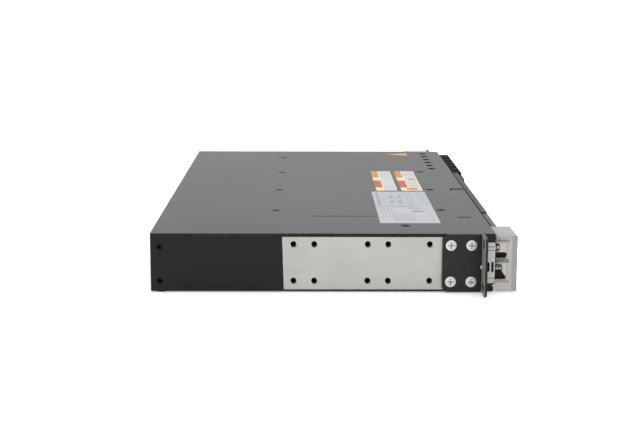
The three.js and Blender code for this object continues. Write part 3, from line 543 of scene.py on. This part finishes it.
for entry in frame["record"]["subparts"]:
    node = nodes[entry["node"]]
    node.data.materials.clear()
    node.data.materials.append(LOOKS[entry["material_slot"]])
    if entry["node"] in BEVELS:
        soften(node, BEVELS[entry["node"]])
nodes["base_tray"].data.materials[0] = tray_coat()
nodes["terminal_bracket"].data.materials[0] = bracket_zinc()
breaker_look, ear_look, ear_screw_look = breaker_plastic(), ear_coat(), ear_screw_zinc()
for number in range(1, 7):
    nodes[f"breaker_{number}"].data.materials[0] = breaker_look
for side in ("left", "right"):
    nodes[f"{side}_ear"].data.materials[0] = ear_look
    for number in range(1, 5):
        nodes[f"ear_screw_{side}_{number}"].data.materials[0] = ear_screw_look


# ---------------------------------------------------------------- shapes of the added pieces

FACES = {
    "front": ((1, 0, 0), (0, 0, 1)),
    "left": ((0, -1, 0), (0, 0, 1)),
    "right": ((0, 1, 0), (0, 0, 1)),
    "top": ((1, 0, 0), (0, 1, 0)),
    "rear": ((-1, 0, 0), (0, 0, 1)),
    "bottom": ((1, 0, 0), (0, -1, 0)),
}


def at(x, y, z):
    """A place given in mm from the middle of the lid and the underside of the tray."""
    return Vector((x * MM, MIDDLE_Y + y * MM, TRAY_BOTTOM + z * MM))


def facing(face, origin):
    """The matrix that stands a shape on a face: u across, v up and w out of it, in mm."""
    u, v = (Vector(axis) for axis in (FACES[face] if isinstance(face, str) else face))
    w = u.cross(v)
    turn = Matrix((u, v, w)).transposed().to_4x4()
    return Matrix.Translation(origin) @ turn @ Matrix.Scale(MM, 4)


CORNER_STEPS = 4


def oblong(u, v, radius=0.0):
    """A rectangle with rounded corners, as (u, v) points in order."""
    if not radius:
        return [(u[0], v[0]), (u[1], v[0]), (u[1], v[1]), (u[0], v[1])]
    corners = [(u[1] - radius, v[0] + radius, -90), (u[1] - radius, v[1] - radius, 0),
               (u[0] + radius, v[1] - radius, 90), (u[0] + radius, v[0] + radius, 180)]
    points = []
    for cu, cv, start in corners:
        for i in range(CORNER_STEPS + 1):
            angle = math.radians(start + 90 * i / CORNER_STEPS)
            points.append((cu + radius * math.cos(angle), cv + radius * math.sin(angle)))
    return points


def arc_band(centre, radius, width, start, end, steps):
    """A curved band round a centre, as (u, v) points in order; the angles are in degrees."""
    angles = [math.radians(start + (end - start) * i / steps) for i in range(steps + 1)]
    far, near = radius + width / 2, radius - width / 2
    outer = [(centre[0] + far * math.cos(a), centre[1] + far * math.sin(a)) for a in angles]
    inner = [(centre[0] + near * math.cos(a), centre[1] + near * math.sin(a)) for a in reversed(angles)]
    return outer + inner


class Shape:
    """Closed solids in a face's own axes, in mm."""

    def __init__(self):
        self.bm = bmesh.new()

    def slab(self, outline, low, high, look=0):
        rings = [[self.bm.verts.new((u, v, w)) for u, v in outline] for w in (low, high)]
        faces = [self.bm.faces.new(rings[0][::-1]), self.bm.faces.new(rings[1])]
        for i in range(len(outline)):
            j = (i + 1) % len(outline)
            faces.append(self.bm.faces.new((rings[0][i], rings[0][j], rings[1][j], rings[1][i])))
        for face in faces:
            face.material_index = look
        return self

    def turned(self, profile, segments):
        """Turns a closed profile of (radius, w) points round the w axis."""
        rings = []
        for radius, w in profile:
            count = segments if radius > 0 else 1
            turns = [math.tau * i / segments for i in range(count)]
            ring = [(radius * math.cos(turn), radius * math.sin(turn), w) for turn in turns]
            rings.append([self.bm.verts.new(place) for place in ring])
        for near, far in zip(rings, rings[1:] + rings[:1]):
            if len(near) == 1 and len(far) == 1:
                continue
            for i in range(segments):
                j = (i + 1) % segments
                corners = [near[i % len(near)], near[j % len(near)], far[j % len(far)], far[i % len(far)]]
                self.bm.faces.new(list(dict.fromkeys(corners)))
        return self

    def mesh(self, name):
        bmesh.ops.recalc_face_normals(self.bm, faces=self.bm.faces)
        mesh = bpy.data.meshes.new(name)
        self.bm.to_mesh(mesh)
        self.bm.free()
        return mesh


def carved(mesh, cutter):
    """A mesh with another one cut out of it."""
    scene = bpy.context.scene
    body, tool = (bpy.data.objects.new("carving", each) for each in (mesh, cutter))
    for each in (body, tool):
        scene.collection.objects.link(each)
    cut = body.modifiers.new("cut", "BOOLEAN")
    cut.operation = "DIFFERENCE"
    cut.object = tool
    bpy.context.view_layer.update()
    result = bpy.data.meshes.new_from_object(body.evaluated_get(bpy.context.evaluated_depsgraph_get()))
    for each in (body, tool):
        bpy.data.objects.remove(each)
    return result


def stand(name, mesh, place, looks, body="root", bevel=0.0):
    """Makes a piece from a mesh in mm, stands it on a face and gives it its looks and its body."""
    own = mesh.copy()
    own.name = name
    own.transform(place)
    own.materials.clear()
    for look in looks:
        own.materials.append(look)
    piece = bpy.data.objects.new(name, own)
    bpy.context.scene.collection.objects.link(piece)
    if bevel:
        soften(piece, bevel)
    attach(piece, body)
    return piece


SMOOTH_ANGLE = math.radians(32)


def smooth_by_angle(mesh):
    """Shades a mesh smoothly apart from its sharp edges."""
    for polygon in mesh.polygons:
        polygon.use_smooth = True
    mesh.set_sharp_from_angle(angle=SMOOTH_ANGLE)
    return mesh


RECESS_DEPTH = 0.9
STUB_LENGTH = 1.5


def screw_head(radius, rise, sunk, shank, recess):
    """A low round head with a cross recess, and a stub of its shank."""
    head = Shape().turned([
        (0, -sunk - STUB_LENGTH), (shank, -sunk - STUB_LENGTH), (shank, -sunk), (radius - 0.05, 0.02),
        (radius, rise * 0.35), (radius * 0.82, rise * 0.85), (radius * 0.5, rise), (0, rise),
    ], segments=28).mesh("head")
    half = recess / 2
    arm = recess * 0.13
    outline = [
        (arm, arm), (arm, half), (-arm, half), (-arm, arm), (-half, arm), (-half, -arm),
        (-arm, -arm), (-arm, -half), (arm, -half), (arm, -arm), (half, -arm), (half, arm),
    ]
    cross = Shape().slab(outline, rise - RECESS_DEPTH, rise + 1)
    return smooth_by_angle(carved(head, cross.mesh("cross")))


# ---------------------------------------------------------------- looks of the added pieces

def printed(name, colour):
    """Matt ink, slightly uneven."""
    graph = Graph(name)
    drift = graph.ramp(graph.noise(160, 3), 0.3, 0.7)
    base = graph.mix(drift, tuple(c * 0.9 for c in colour), colour)
    graph.set(Base_Color=base, Roughness=graph.ramp(drift, 0, 1, 0.5, 0.58),
              Normal=graph.bump(graph.noise(1500, 2), 0.004 * MM, 0.5))
    return graph.material


PRINT_SOFTNESS = 0.2 * MM


def patch(graph, x, y):
    """1 inside a rectangle of the lid, given in mm from its middle, and 0 outside."""
    along_x, along_y, _ = graph.axes()
    across = graph.inside(along_x, x[0] * MM, x[1] * MM, PRINT_SOFTNESS)
    deep = graph.inside(along_y, MIDDLE_Y + y[0] * MM, MIDDLE_Y + y[1] * MM, PRINT_SOFTNESS)
    return graph.math("MULTIPLY", across, deep)


def rows(graph, x, y, pitch):
    """Faint broken rows along X inside a rectangle, as generic small print."""
    _, along_y, _ = graph.axes()
    phase = graph.math("FRACT", graph.math("DIVIDE", graph.math("ADD", along_y, 1.0), pitch * MM))
    line = graph.math("LESS_THAN", phase, 0.35)
    words = graph.ramp(graph.noise(700, 1, 0.5, (1, 0.05, 1)), 0.42, 0.5)
    return graph.math("MULTIPLY", graph.math("MULTIPLY", line, words), patch(graph, x, y))


def film(name, ground, areas, prints):
    """A label film: a ground colour, then coloured areas, then rows of small print."""
    graph = Graph(name)
    drift = graph.ramp(graph.noise(60, 3), 0.3, 0.7)
    base = graph.mix(drift, tuple(c * 0.94 for c in ground), ground)
    for x, y, colour in areas:
        base = graph.mix(patch(graph, x, y), base, colour)
    for x, y, pitch, colour, strength in prints:
        base = graph.mix(graph.math("MULTIPLY", rows(graph, x, y, pitch), strength), base, colour)
    graph.set(Base_Color=base, Roughness=graph.ramp(drift, 0, 1, 0.6, 0.66),
              Normal=graph.bump(graph.noise(500, 2), 0.006 * MM, 0.5))
    graph.shader.inputs["Specular IOR Level"].default_value = 0.06
    return graph.material


def lens(name, colour, glow=0.0):
    """A tinted light window, lit or unlit."""
    graph = Graph(name)
    drift = graph.ramp(graph.noise(500, 2), 0.3, 0.7)
    graph.set(Base_Color=graph.mix(drift, tuple(c * 0.8 for c in colour), colour), Roughness=0.22)
    graph.shader.inputs["Emission Color"].default_value = (*colour, 1)
    graph.shader.inputs["Emission Strength"].default_value = glow
    return graph.material


ORANGE = srgb(196, 140, 78)
PALE_ORANGE = srgb(226, 205, 176)
RED = srgb(184, 106, 82)
LABEL_WHITE = srgb(198, 198, 195)

black_steel = metal("black_steel", srgb(62, 61, 60), 0.42)
white_print = printed("white_print", srgb(222, 222, 218))
coat_print = moulded("coat_print", srgb(30, 30, 28), 0.7, 0.01, 0.05)
green_lens = lens("green_lens", (0.05, 0.62, 0.16), 0.6)
amber_lens = lens("amber_lens", (0.8, 0.42, 0.03), 0.15)
red_lens = lens("red_lens", (0.62, 0.04, 0.03))
gold = metal("contact_gold", (0.86, 0.62, 0.26), 0.24)
bright_zinc = LOOKS["zinc_plate"]
blackened = moulded("blackened_steel", srgb(14, 14, 14), 0.75, 0.01, 0.02)
# Lit and shaded copies of one screw look, as painted light: the rear screws are a touch paler and shinier
# than the front ones.
lid_screw_front = moulded("lid_screw_front", srgb(24, 24, 24), 0.6, 0.01, 0.1)
lid_screw_rear = moulded("lid_screw_rear", srgb(26, 26, 25), 0.5, 0.01, 0.17)
nodes["terminal_bracket_screw"].data.materials[0] = black_steel


def liner_plastic():
    """Thin white plastic, with a painted glow standing in for the light it lets through from behind."""
    material = moulded("liner_plastic", srgb(226, 219, 216), 0.6, 0.01, 0.2)
    shader = material.node_tree.nodes["Principled BSDF"]
    # Painted light: the liner glows though it is no lamp.
    shader.inputs["Emission Color"].default_value = (1, 0.95, 0.92, 1)
    shader.inputs["Emission Strength"].default_value = 0.38
    return material


TERMINAL_FACE = -126.6
TERMINAL_JOINTS = (3.8, 5.1, 6.3)


def terminal_steel():
    """Bright zinc on the head and the washers, with painted shade in the neck and the gap between them and
    along three joints further back.
    """
    graph = Graph("terminal_screw_steel")
    base, rough, grain = zinc_look(graph)
    _, y, _ = graph.axes()
    face = MIDDLE_Y + TERMINAL_FACE * MM
    # Painted shade: dark bands in the neck, the gap and the joints, where the parts meet.
    neck = graph.inside(y, face - 2.6 * MM, face - 2 * MM, 0.03 * MM)
    gap = graph.inside(y, face - 1.2 * MM, face - 0.8 * MM, 0.03 * MM)
    dark = graph.math("ADD", neck, gap, clamp=True)
    for depth in TERMINAL_JOINTS:
        joint = graph.inside(y, face - (depth + 0.4) * MM, face - depth * MM, 0.05 * MM)
        dark = graph.math("ADD", dark, graph.math("MULTIPLY", joint, 0.85), clamp=True)
    bright = graph.mix(0.4, base, (0.85, 0.84, 0.82))
    colour = graph.mix(dark, bright, (0.02, 0.02, 0.02))
    graph.set(Base_Color=colour, Roughness=rough, Normal=grain, Metallic=0.9)
    return graph.material


terminal_look = terminal_steel()
for number in (1, 2):
    for pole in ("positive", "negative"):
        nodes[f"terminal_screw_{pole}_{number}"].data.materials[0] = terminal_look


# ---------------------------------------------------------------- lid: screws and labels

LID_HEIGHT = 43.6
FILM = 0.12
LID_SCREWS = [(-127, 36), (-27, 36), (73, 36), (173, 36),
              (-125, -96.5), (-25, -96.5), (78, -96.5), (-190.5, -63)]
on_lid = facing("top", at(0, 0, LID_HEIGHT))

wafer_head = screw_head(3.9, 0.14, 0.5, 1.3, 3.2)
for number, (x, y) in enumerate(LID_SCREWS, 1):
    # Painted light: the rear screws take the paler, shinier copy.
    look = lid_screw_rear if y > 0 else lid_screw_front
    stand(f"lid_screw_{number}", wafer_head, facing("top", at(x, y, LID_HEIGHT)), [look])

latch = Shape().slab(oblong((-26.6, -21.4), (-126.2, -116.4), 0.8), -1, -0.45)
latch.slab(oblong((-26.6, -21.4), (-127.4, -126)), -2.2, 0.1, 1)
stand("module_latch", latch.mesh("latch"), on_lid,
      [LOOKS["black_coat"], bright_zinc], bevel=0.12)


def lid_label(name, x, y, look):
    """A thin label with round corners on the lid."""
    sheet = Shape().slab(oblong(x, y, 1.2), 0.01, FILM).mesh(name)
    stand(name, sheet, on_lid, [look])


def caution_areas(front):
    """The colour blocks of a two-part label, from the Y of its front edge."""
    rear = front + 18.6
    return [
        ((41, 82), (rear - 6, rear + 1), ORANGE),
        ((26, 41), (rear - 7, rear + 1), PALE_ORANGE),
        ((-15, 24), (rear - 6.4, rear + 1), RED),
        ((-32, -15), (rear - 7, rear + 1), PALE_ORANGE),
        ((24.2, 25.8), (front - 1, rear + 1), srgb(176, 178, 186)),
    ]


SMALL_PRINT = srgb(150, 155, 163)
caution_1 = film("caution_film_1", LABEL_WHITE, caution_areas(-67.8), [
    ((28, 79), (-66.8, -57), 1.7, SMALL_PRINT, 0.85),
    ((-29, 22), (-66.8, -57.5), 1.9, SMALL_PRINT, 0.85),
])
caution_2 = film("caution_film_2", LABEL_WHITE, caution_areas(-90) + [
    ((28, 37), (-88, -81.5), ORANGE),
    ((-28, -17), (-86, -76.5), ORANGE),
    ((-32, 24), (-90.5, -89), PALE_ORANGE),
], [
    ((40, 79), (-88.5, -79), 1.7, SMALL_PRINT, 0.85),
    ((-14, 22), (-88.5, -79.5), 1.9, SMALL_PRINT, 0.85),
])
lid_label("caution_label_1", (-31.5, 81), (-67.8, -49.2), caution_1)
lid_label("caution_label_2", (-32, 81), (-90, -71.4), caution_2)

RATING_GROUND = srgb(175, 178, 181)
RATING_INK = srgb(112, 116, 122)
rating = film("rating_film", RATING_GROUND, [
    ((-181, -110), (-90, -45), srgb(178, 179, 182)),
    ((-111, -109.5), (-76, -46), RATING_INK),
    ((-103, -44), (-49.5, -47.2), srgb(150, 154, 158)),
    ((-68, -58), (-61.5, -58.5), srgb(146, 150, 154)),
    ((-68, -58), (-68.5, -65.5), srgb(146, 150, 154)),
    ((-92, -82), (-61, -58), srgb(146, 150, 154)),
    ((-92, -82), (-68, -65), srgb(146, 150, 154)),
    ((-134, -129), (-82, -72.5), srgb(132, 135, 140)),
    ((-121, -115), (-81, -71), srgb(156, 159, 164)),
], [
    ((-104, -43), (-77, -71), 3.2, RATING_INK, 0.5),
    ((-104, -43), (-88, -82), 3.0, RATING_INK, 0.4),
    ((-160, -114), (-58, -48), 2.6, RATING_INK, 0.45),
    ((-172, -140), (-74, -56), 2.4, RATING_INK, 0.6),
    ((-176, -116), (-89, -83), 3.4, RATING_INK, 0.3),
])
lid_label("rating_label", (-181.5, -37), (-90.8, -44.4), rating)

triangle = Shape().slab([(188.2, -92.5), (205.6, -92.5), (196.9, -71)], 0.01, FILM)
triangle.slab([(191, -90.6), (202.8, -90.6), (196.9, -76)], FILM, FILM + 0.04, 1)
stand("triangle_label", triangle.mesh("triangle"), on_lid,
      [printed("triangle_orange", srgb(206, 148, 98)), printed("triangle_pale", srgb(216, 170, 120))])


# ---------------------------------------------------------------- sides: clinch nuts, screws, earth mark

SIDE_FACE = 221
SIDES = (("left", -1), ("right", 1))
SIDE_HOLES = [(y, z) for z in (8.2, 35.7) for y in (21.7, 6.4, -33, -48.1, -78.7)]
REAR_SIDE_HOLES = [(120.3, 7.8), (120.3, 33.3)]
RIVET_X = 225.4
RIVET_Z = 19.3

# Each nut has a thin pale crescent along its lower rim: a painted highlight.
clinch_nut = smooth_by_angle(Shape().turned([
    (1.62, -3.6), (2.85, -3.6), (2.85, -1.32), (2.0, -1.3), (1.82, -1.25), (1.82, 0.01),
    (2.12, 0.01), (2.12, 0.04), (2.02, 0.07), (1.8, 0.07), (1.62, -0.1),
], segments=28).slab(arc_band((0.1, -0.2), 2.3, 0.4, 225, 345, 14), 0.005, 0.035, 1).mesh("clinch_nut"))
# Pale matt colour for the painted highlight on each nut's lower rim, and for the ear rivets.
pale_highlight_and_rivet = printed("pale_highlight_and_rivet", srgb(196, 197, 190))
small_head = screw_head(2.1, 0.35, 0.7, 1.2, 1.9)
for side, sign in SIDES:
    for number, (y, z) in enumerate(SIDE_HOLES, 1):
        stand(f"{side}_clinch_nut_{number}", clinch_nut, facing(side, at(sign * SIDE_FACE, y, z)),
              [blackened, pale_highlight_and_rivet])
    for number, (y, z) in enumerate(REAR_SIDE_HOLES, 1):
        stand(f"{side}_rear_screw_{number}", small_head, facing(side, at(sign * SIDE_FACE, y, z)),
              [blackened])


rivet_head = smooth_by_angle(Shape().turned([
    (0, -0.6), (1, -0.6), (1, 0.01), (1.45, 0.01), (1.45, 0.45), (1.2, 0.85), (0.7, 1.1), (0, 1.15),
], segments=24).mesh("rivet_head"))
for side, sign in SIDES:
    stand(f"{side}_ear_rivet", rivet_head, facing("rear", at(sign * RIVET_X, FLANGE_REAR, RIVET_Z)),
          [pale_highlight_and_rivet])


def earth_symbol(size, ring, low, high):
    """The plain earth sign in a ring: a stem over three bars that get shorter."""
    shape = Shape()
    thick = size * 0.055
    shape.slab(oblong((-thick, thick), (0, size * 0.5)), low, high)
    for i, half in enumerate((0.42, 0.27, 0.12)):
        level = -size * 0.16 * i
        shape.slab(oblong((-size * half, size * half), (level - thick, level + thick)), low, high)
    return shape.slab(arc_band(*ring, 0, 359, 40), low, high)


mark = earth_symbol(4.2, ((0, 0.1), 3.0, 0.4), 0.005, 0.12)
stand("side_earth_mark", mark.mesh("earth"), facing("left", at(-SIDE_FACE, 99.5, 4.8)),
      [coat_print])


# ---------------------------------------------------------------- front: ground panel and control module

PANEL_FRONT = -133.4
MODULE_FRONT = -134
BUTTON_PLACE = (-108, 21.8)
DIAL_PLACE = (-66, 14)
INK = (0.005, 0.05)  # from where to where printed marks rise over their face


def front_print(name, mesh, x, y, z):
    """A white print on a face at the front."""
    stand(name, mesh, facing("front", at(x, y, z)), [white_print])


sign = earth_symbol(4.4, ((0, 0.2), 3.6, 0.35), *INK)
front_print("ground_mark", sign.mesh("ground"), -166, PANEL_FRONT, 28)

pan_head = screw_head(2.7, 1.1, 0.1, 1.3, 2.4)
for kind, face, places in (
    ("module", MODULE_FRONT, [(-118.5, 6.5), (-118.5, 37), (81, 6.5), (24, 37)]),
    ("panel", PANEL_FRONT, [(-177.5, 37.5), (-132.5, 6)]),
):
    for number, (x, z) in enumerate(places, 1):
        stand(f"{kind}_screw_{number}", pan_head, facing("front", at(x, face, z)),
              [black_steel])

symbol = Shape().slab(arc_band((0, 0), 2.1, 0.5, 125, 415, 30), 0.005, 0.06)
symbol.slab(oblong((-0.25, 0.25), (0.5, 2.7)), 0.005, 0.06)
x, z = BUTTON_PLACE
stand("power_symbol", symbol.mesh("power"), facing("front", at(x, MODULE_FRONT - 1.2, z)),
      [printed("symbol_ink", srgb(60, 62, 66))], "power_button_body")

collar = smooth_by_angle(Shape().turned([
    (5.5, 0.01), (6.9, 0.01), (6.9, 0.35), (6.6, 0.6), (5.8, 0.6), (5.5, 0.4)], segments=40).mesh("collar"))
stand("power_button_collar", collar, facing("front", at(x, MODULE_FRONT, z)),
      [LOOKS["black_plastic"]])

ticks = Shape()
for i in range(16):
    angle = math.tau * i / 16
    far = 7.4 if i % 4 == 0 else 6.9
    across = Vector((-math.sin(angle), math.cos(angle))) * 0.16
    near_end, far_end = (Vector((math.cos(angle), math.sin(angle))) * r for r in (5.6, far))
    corners = [near_end - across, far_end - across, far_end + across, near_end + across]
    ticks.slab([tuple(corner) for corner in corners], *INK)
x, z = DIAL_PLACE
front_print("dial_ticks", ticks.mesh("ticks"), x, MODULE_FRONT, z)

STATUS_LEFT = -94
STATUS_PITCH = 6
STATUS_LENSES = [green_lens] * 4 + [amber_lens, red_lens]
on_module = facing("front", at(0, MODULE_FRONT, 0))
for number, look in enumerate(STATUS_LENSES):
    x = STATUS_LEFT + STATUS_PITCH * (number + 0.5)
    window = Shape().slab(oblong((x - 1.6, x + 1.6), (29, 30.4), 0.4), 0.605, 0.72).mesh("window")
    stand(f"status_window_{number + 1}", window, on_module, [look], bevel=0.04)
    dash = Shape().slab(oblong((x - 1.3, x + 1.3), (32.6, 33)), *INK).mesh("dash")
    front_print(f"status_mark_{number + 1}", dash, 0, MODULE_FRONT, 0)

PORT_FACE = -134.6
PORT_LEFT = -48
PORT_PITCH = 16.5
WIRE_PITCH = 1.02
WIRE_OUTLINE = [(9.5, 23.6), (9.5, 23.2), (1.6, 20.4), (1.4, 20.8)]  # depth behind the face, and height
on_ports = facing("front", at(0, PORT_FACE, 0))
side_view = facing("right", at(0, 0, 0))  # u along Y, v up and w along X, from the middle of the lid
for number in range(4):
    x = PORT_LEFT + PORT_PITCH * (number + 0.5)
    wires = Shape()
    for i in range(8):
        u = x + (i - 3.5) * WIRE_PITCH
        wires.slab([(PORT_FACE + depth, z) for depth, z in WIRE_OUTLINE], u - 0.17, u + 0.17)
    stand(f"port_contacts_{number + 1}", wires.mesh("wires"), side_view, [gold])
    for side, middle, look in (("a", x - 4.3, green_lens), ("b", x + 4.3, amber_lens)):
        window = Shape().slab(oblong((middle - 1.4, middle + 1.4), (25.3, 26.9), 0.3), 0.005, 0.2)
        stand(f"port_light_{number + 1}{side}", window.mesh("led"), on_ports,
              [look], bevel=0.05)
    dash = Shape().slab(oblong((x - 2.5, x + 2.5), (8.6, 9)), *INK).mesh("dash")
    front_print(f"port_mark_{number + 1}", dash, 0, MODULE_FRONT, 0)

plain_head = Shape().turned([(0, -1), (1.35, -1), (1.35, -0.1), (1.15, 0.05), (0, 0.1)], segments=20)
slot = Shape().slab(oblong((-1.5, 1.5), (-0.22, 0.22)), -0.5, 1)
slotted = smooth_by_angle(carved(plain_head.mesh("slotted"), slot.mesh("slot")))
ALARM_LEFT = 57.2
ALARM_WIDTH = 25.8
for number in range(6):
    x = ALARM_LEFT + ALARM_WIDTH / 6 * (number + 0.5)
    stand(f"alarm_screw_{number + 1}", slotted, facing("front", at(x, -136.5, 35)),
          [bright_zinc])


# ---------------------------------------------------------------- breakers and terminals

FIRST_BREAKER = 98.3
BREAKER_FRONT = -138
TOGGLE_PIVOT = (-130.5, 22.4)
TOGGLE_REST = math.radians(18)
TOGGLE_LENGTH = 12.6

breaker_print = film("breaker_film", srgb(206, 207, 204), [], [])
seam_shadow = printed("seam_shadow", srgb(18, 18, 18))
toggle_out = Vector((0, -math.cos(TOGGLE_REST), math.sin(TOGGLE_REST)))
toggle_up = (0, math.sin(TOGGLE_REST), math.cos(TOGGLE_REST))
for number in range(1, 7):
    x = FIRST_BREAKER + BREAKER_PITCH * (number - 1)
    front = facing("front", at(x, BREAKER_FRONT, 0))
    plate = Shape().slab(oblong((-6.2, 6.2), (31.4, 37.6), 0.6), 0.01, 0.14)
    for row in range(3):
        plate.slab(oblong((-5, 4.6 - row * 1.5), (36 - row * 1.6, 36.4 - row * 1.6)), 0.14, 0.17, 1)
    stand(f"breaker_plate_{number}", plate.mesh("plate"), front,
          [breaker_print, coat_print])
    bezel = Shape()
    outer, inner = (-4.6, 4.6), (-3.3, 3.3)
    bezel.slab(oblong(outer, (15.4, 17.4), 0.5), 0.01, 0.7)
    bezel.slab(oblong(outer, (27.4, 29.4), 0.5), 0.01, 0.7)
    for u in ((outer[0], inner[0]), (inner[1], outer[1])):
        bezel.slab(oblong(u, (16, 28.8)), 0.01, 0.7)
    stand(f"breaker_bezel_{number}", bezel.mesh("bezel"), front,
          [LOOKS["black_plastic"]], bevel=0.15)
    signs = Shape().slab(oblong((6.2, 6.6), (24.6, 27.2)), *INK)
    signs.slab(arc_band((6.4, 18.2), 1.15, 0.4, 0, 359, 24), *INK)
    stand(f"breaker_signs_{number}", signs.mesh("signs"), front, [white_print])
    seam = Shape().slab(oblong((-9.3, 9.3), (10.6, 10.9)), -0.02, 0.03)
    stand(f"breaker_seam_{number}", seam.mesh("seam"), front, [seam_shadow])
    tip = at(x, *TOGGLE_PIVOT) + toggle_out * TOGGLE_LENGTH * MM
    stripe = Shape().slab(oblong((-1.6, 1.6), (-0.45, 0.45), 0.2), -0.03, 0.06)
    stand(f"toggle_stripe_{number}", stripe.mesh("stripe"), facing(((1, 0, 0), toggle_up), tip),
          [white_print], f"toggle_{number}_body")

liner = Shape().slab(oblong((-141.4, -129.2), (2.4, 37.6), 0.6), -184, -183.6)
stand("cover_end_liner", liner.mesh("liner"), side_view,
      [liner_plastic()], "clear_cover_body")

plus = Shape().slab(oblong((-1.8, 1.8), (-0.4, 0.4)), 0.005, 0.4)
plus.slab(oblong((-0.4, 0.4), (-1.8, 1.8)), 0.005, 0.38)
front_print("positive_sign", plus.mesh("plus"), -200.5, TERMINAL_FACE, 24.2)
minus = Shape().slab(oblong((-1.8, 1.8), (-0.4, 0.4)), 0.005, 0.4)
front_print("negative_sign", minus.mesh("minus"), -200.5, TERMINAL_FACE, 8.4)


# ---------------------------------------------------------------- rear wall screws

REAR_FACE = 127
for number, x in enumerate((-196, -66, 66, 196), 1):
    stand(f"rear_wall_screw_{number}", pan_head, facing("rear", at(x, REAR_FACE, 39.4)),
          [black_steel])
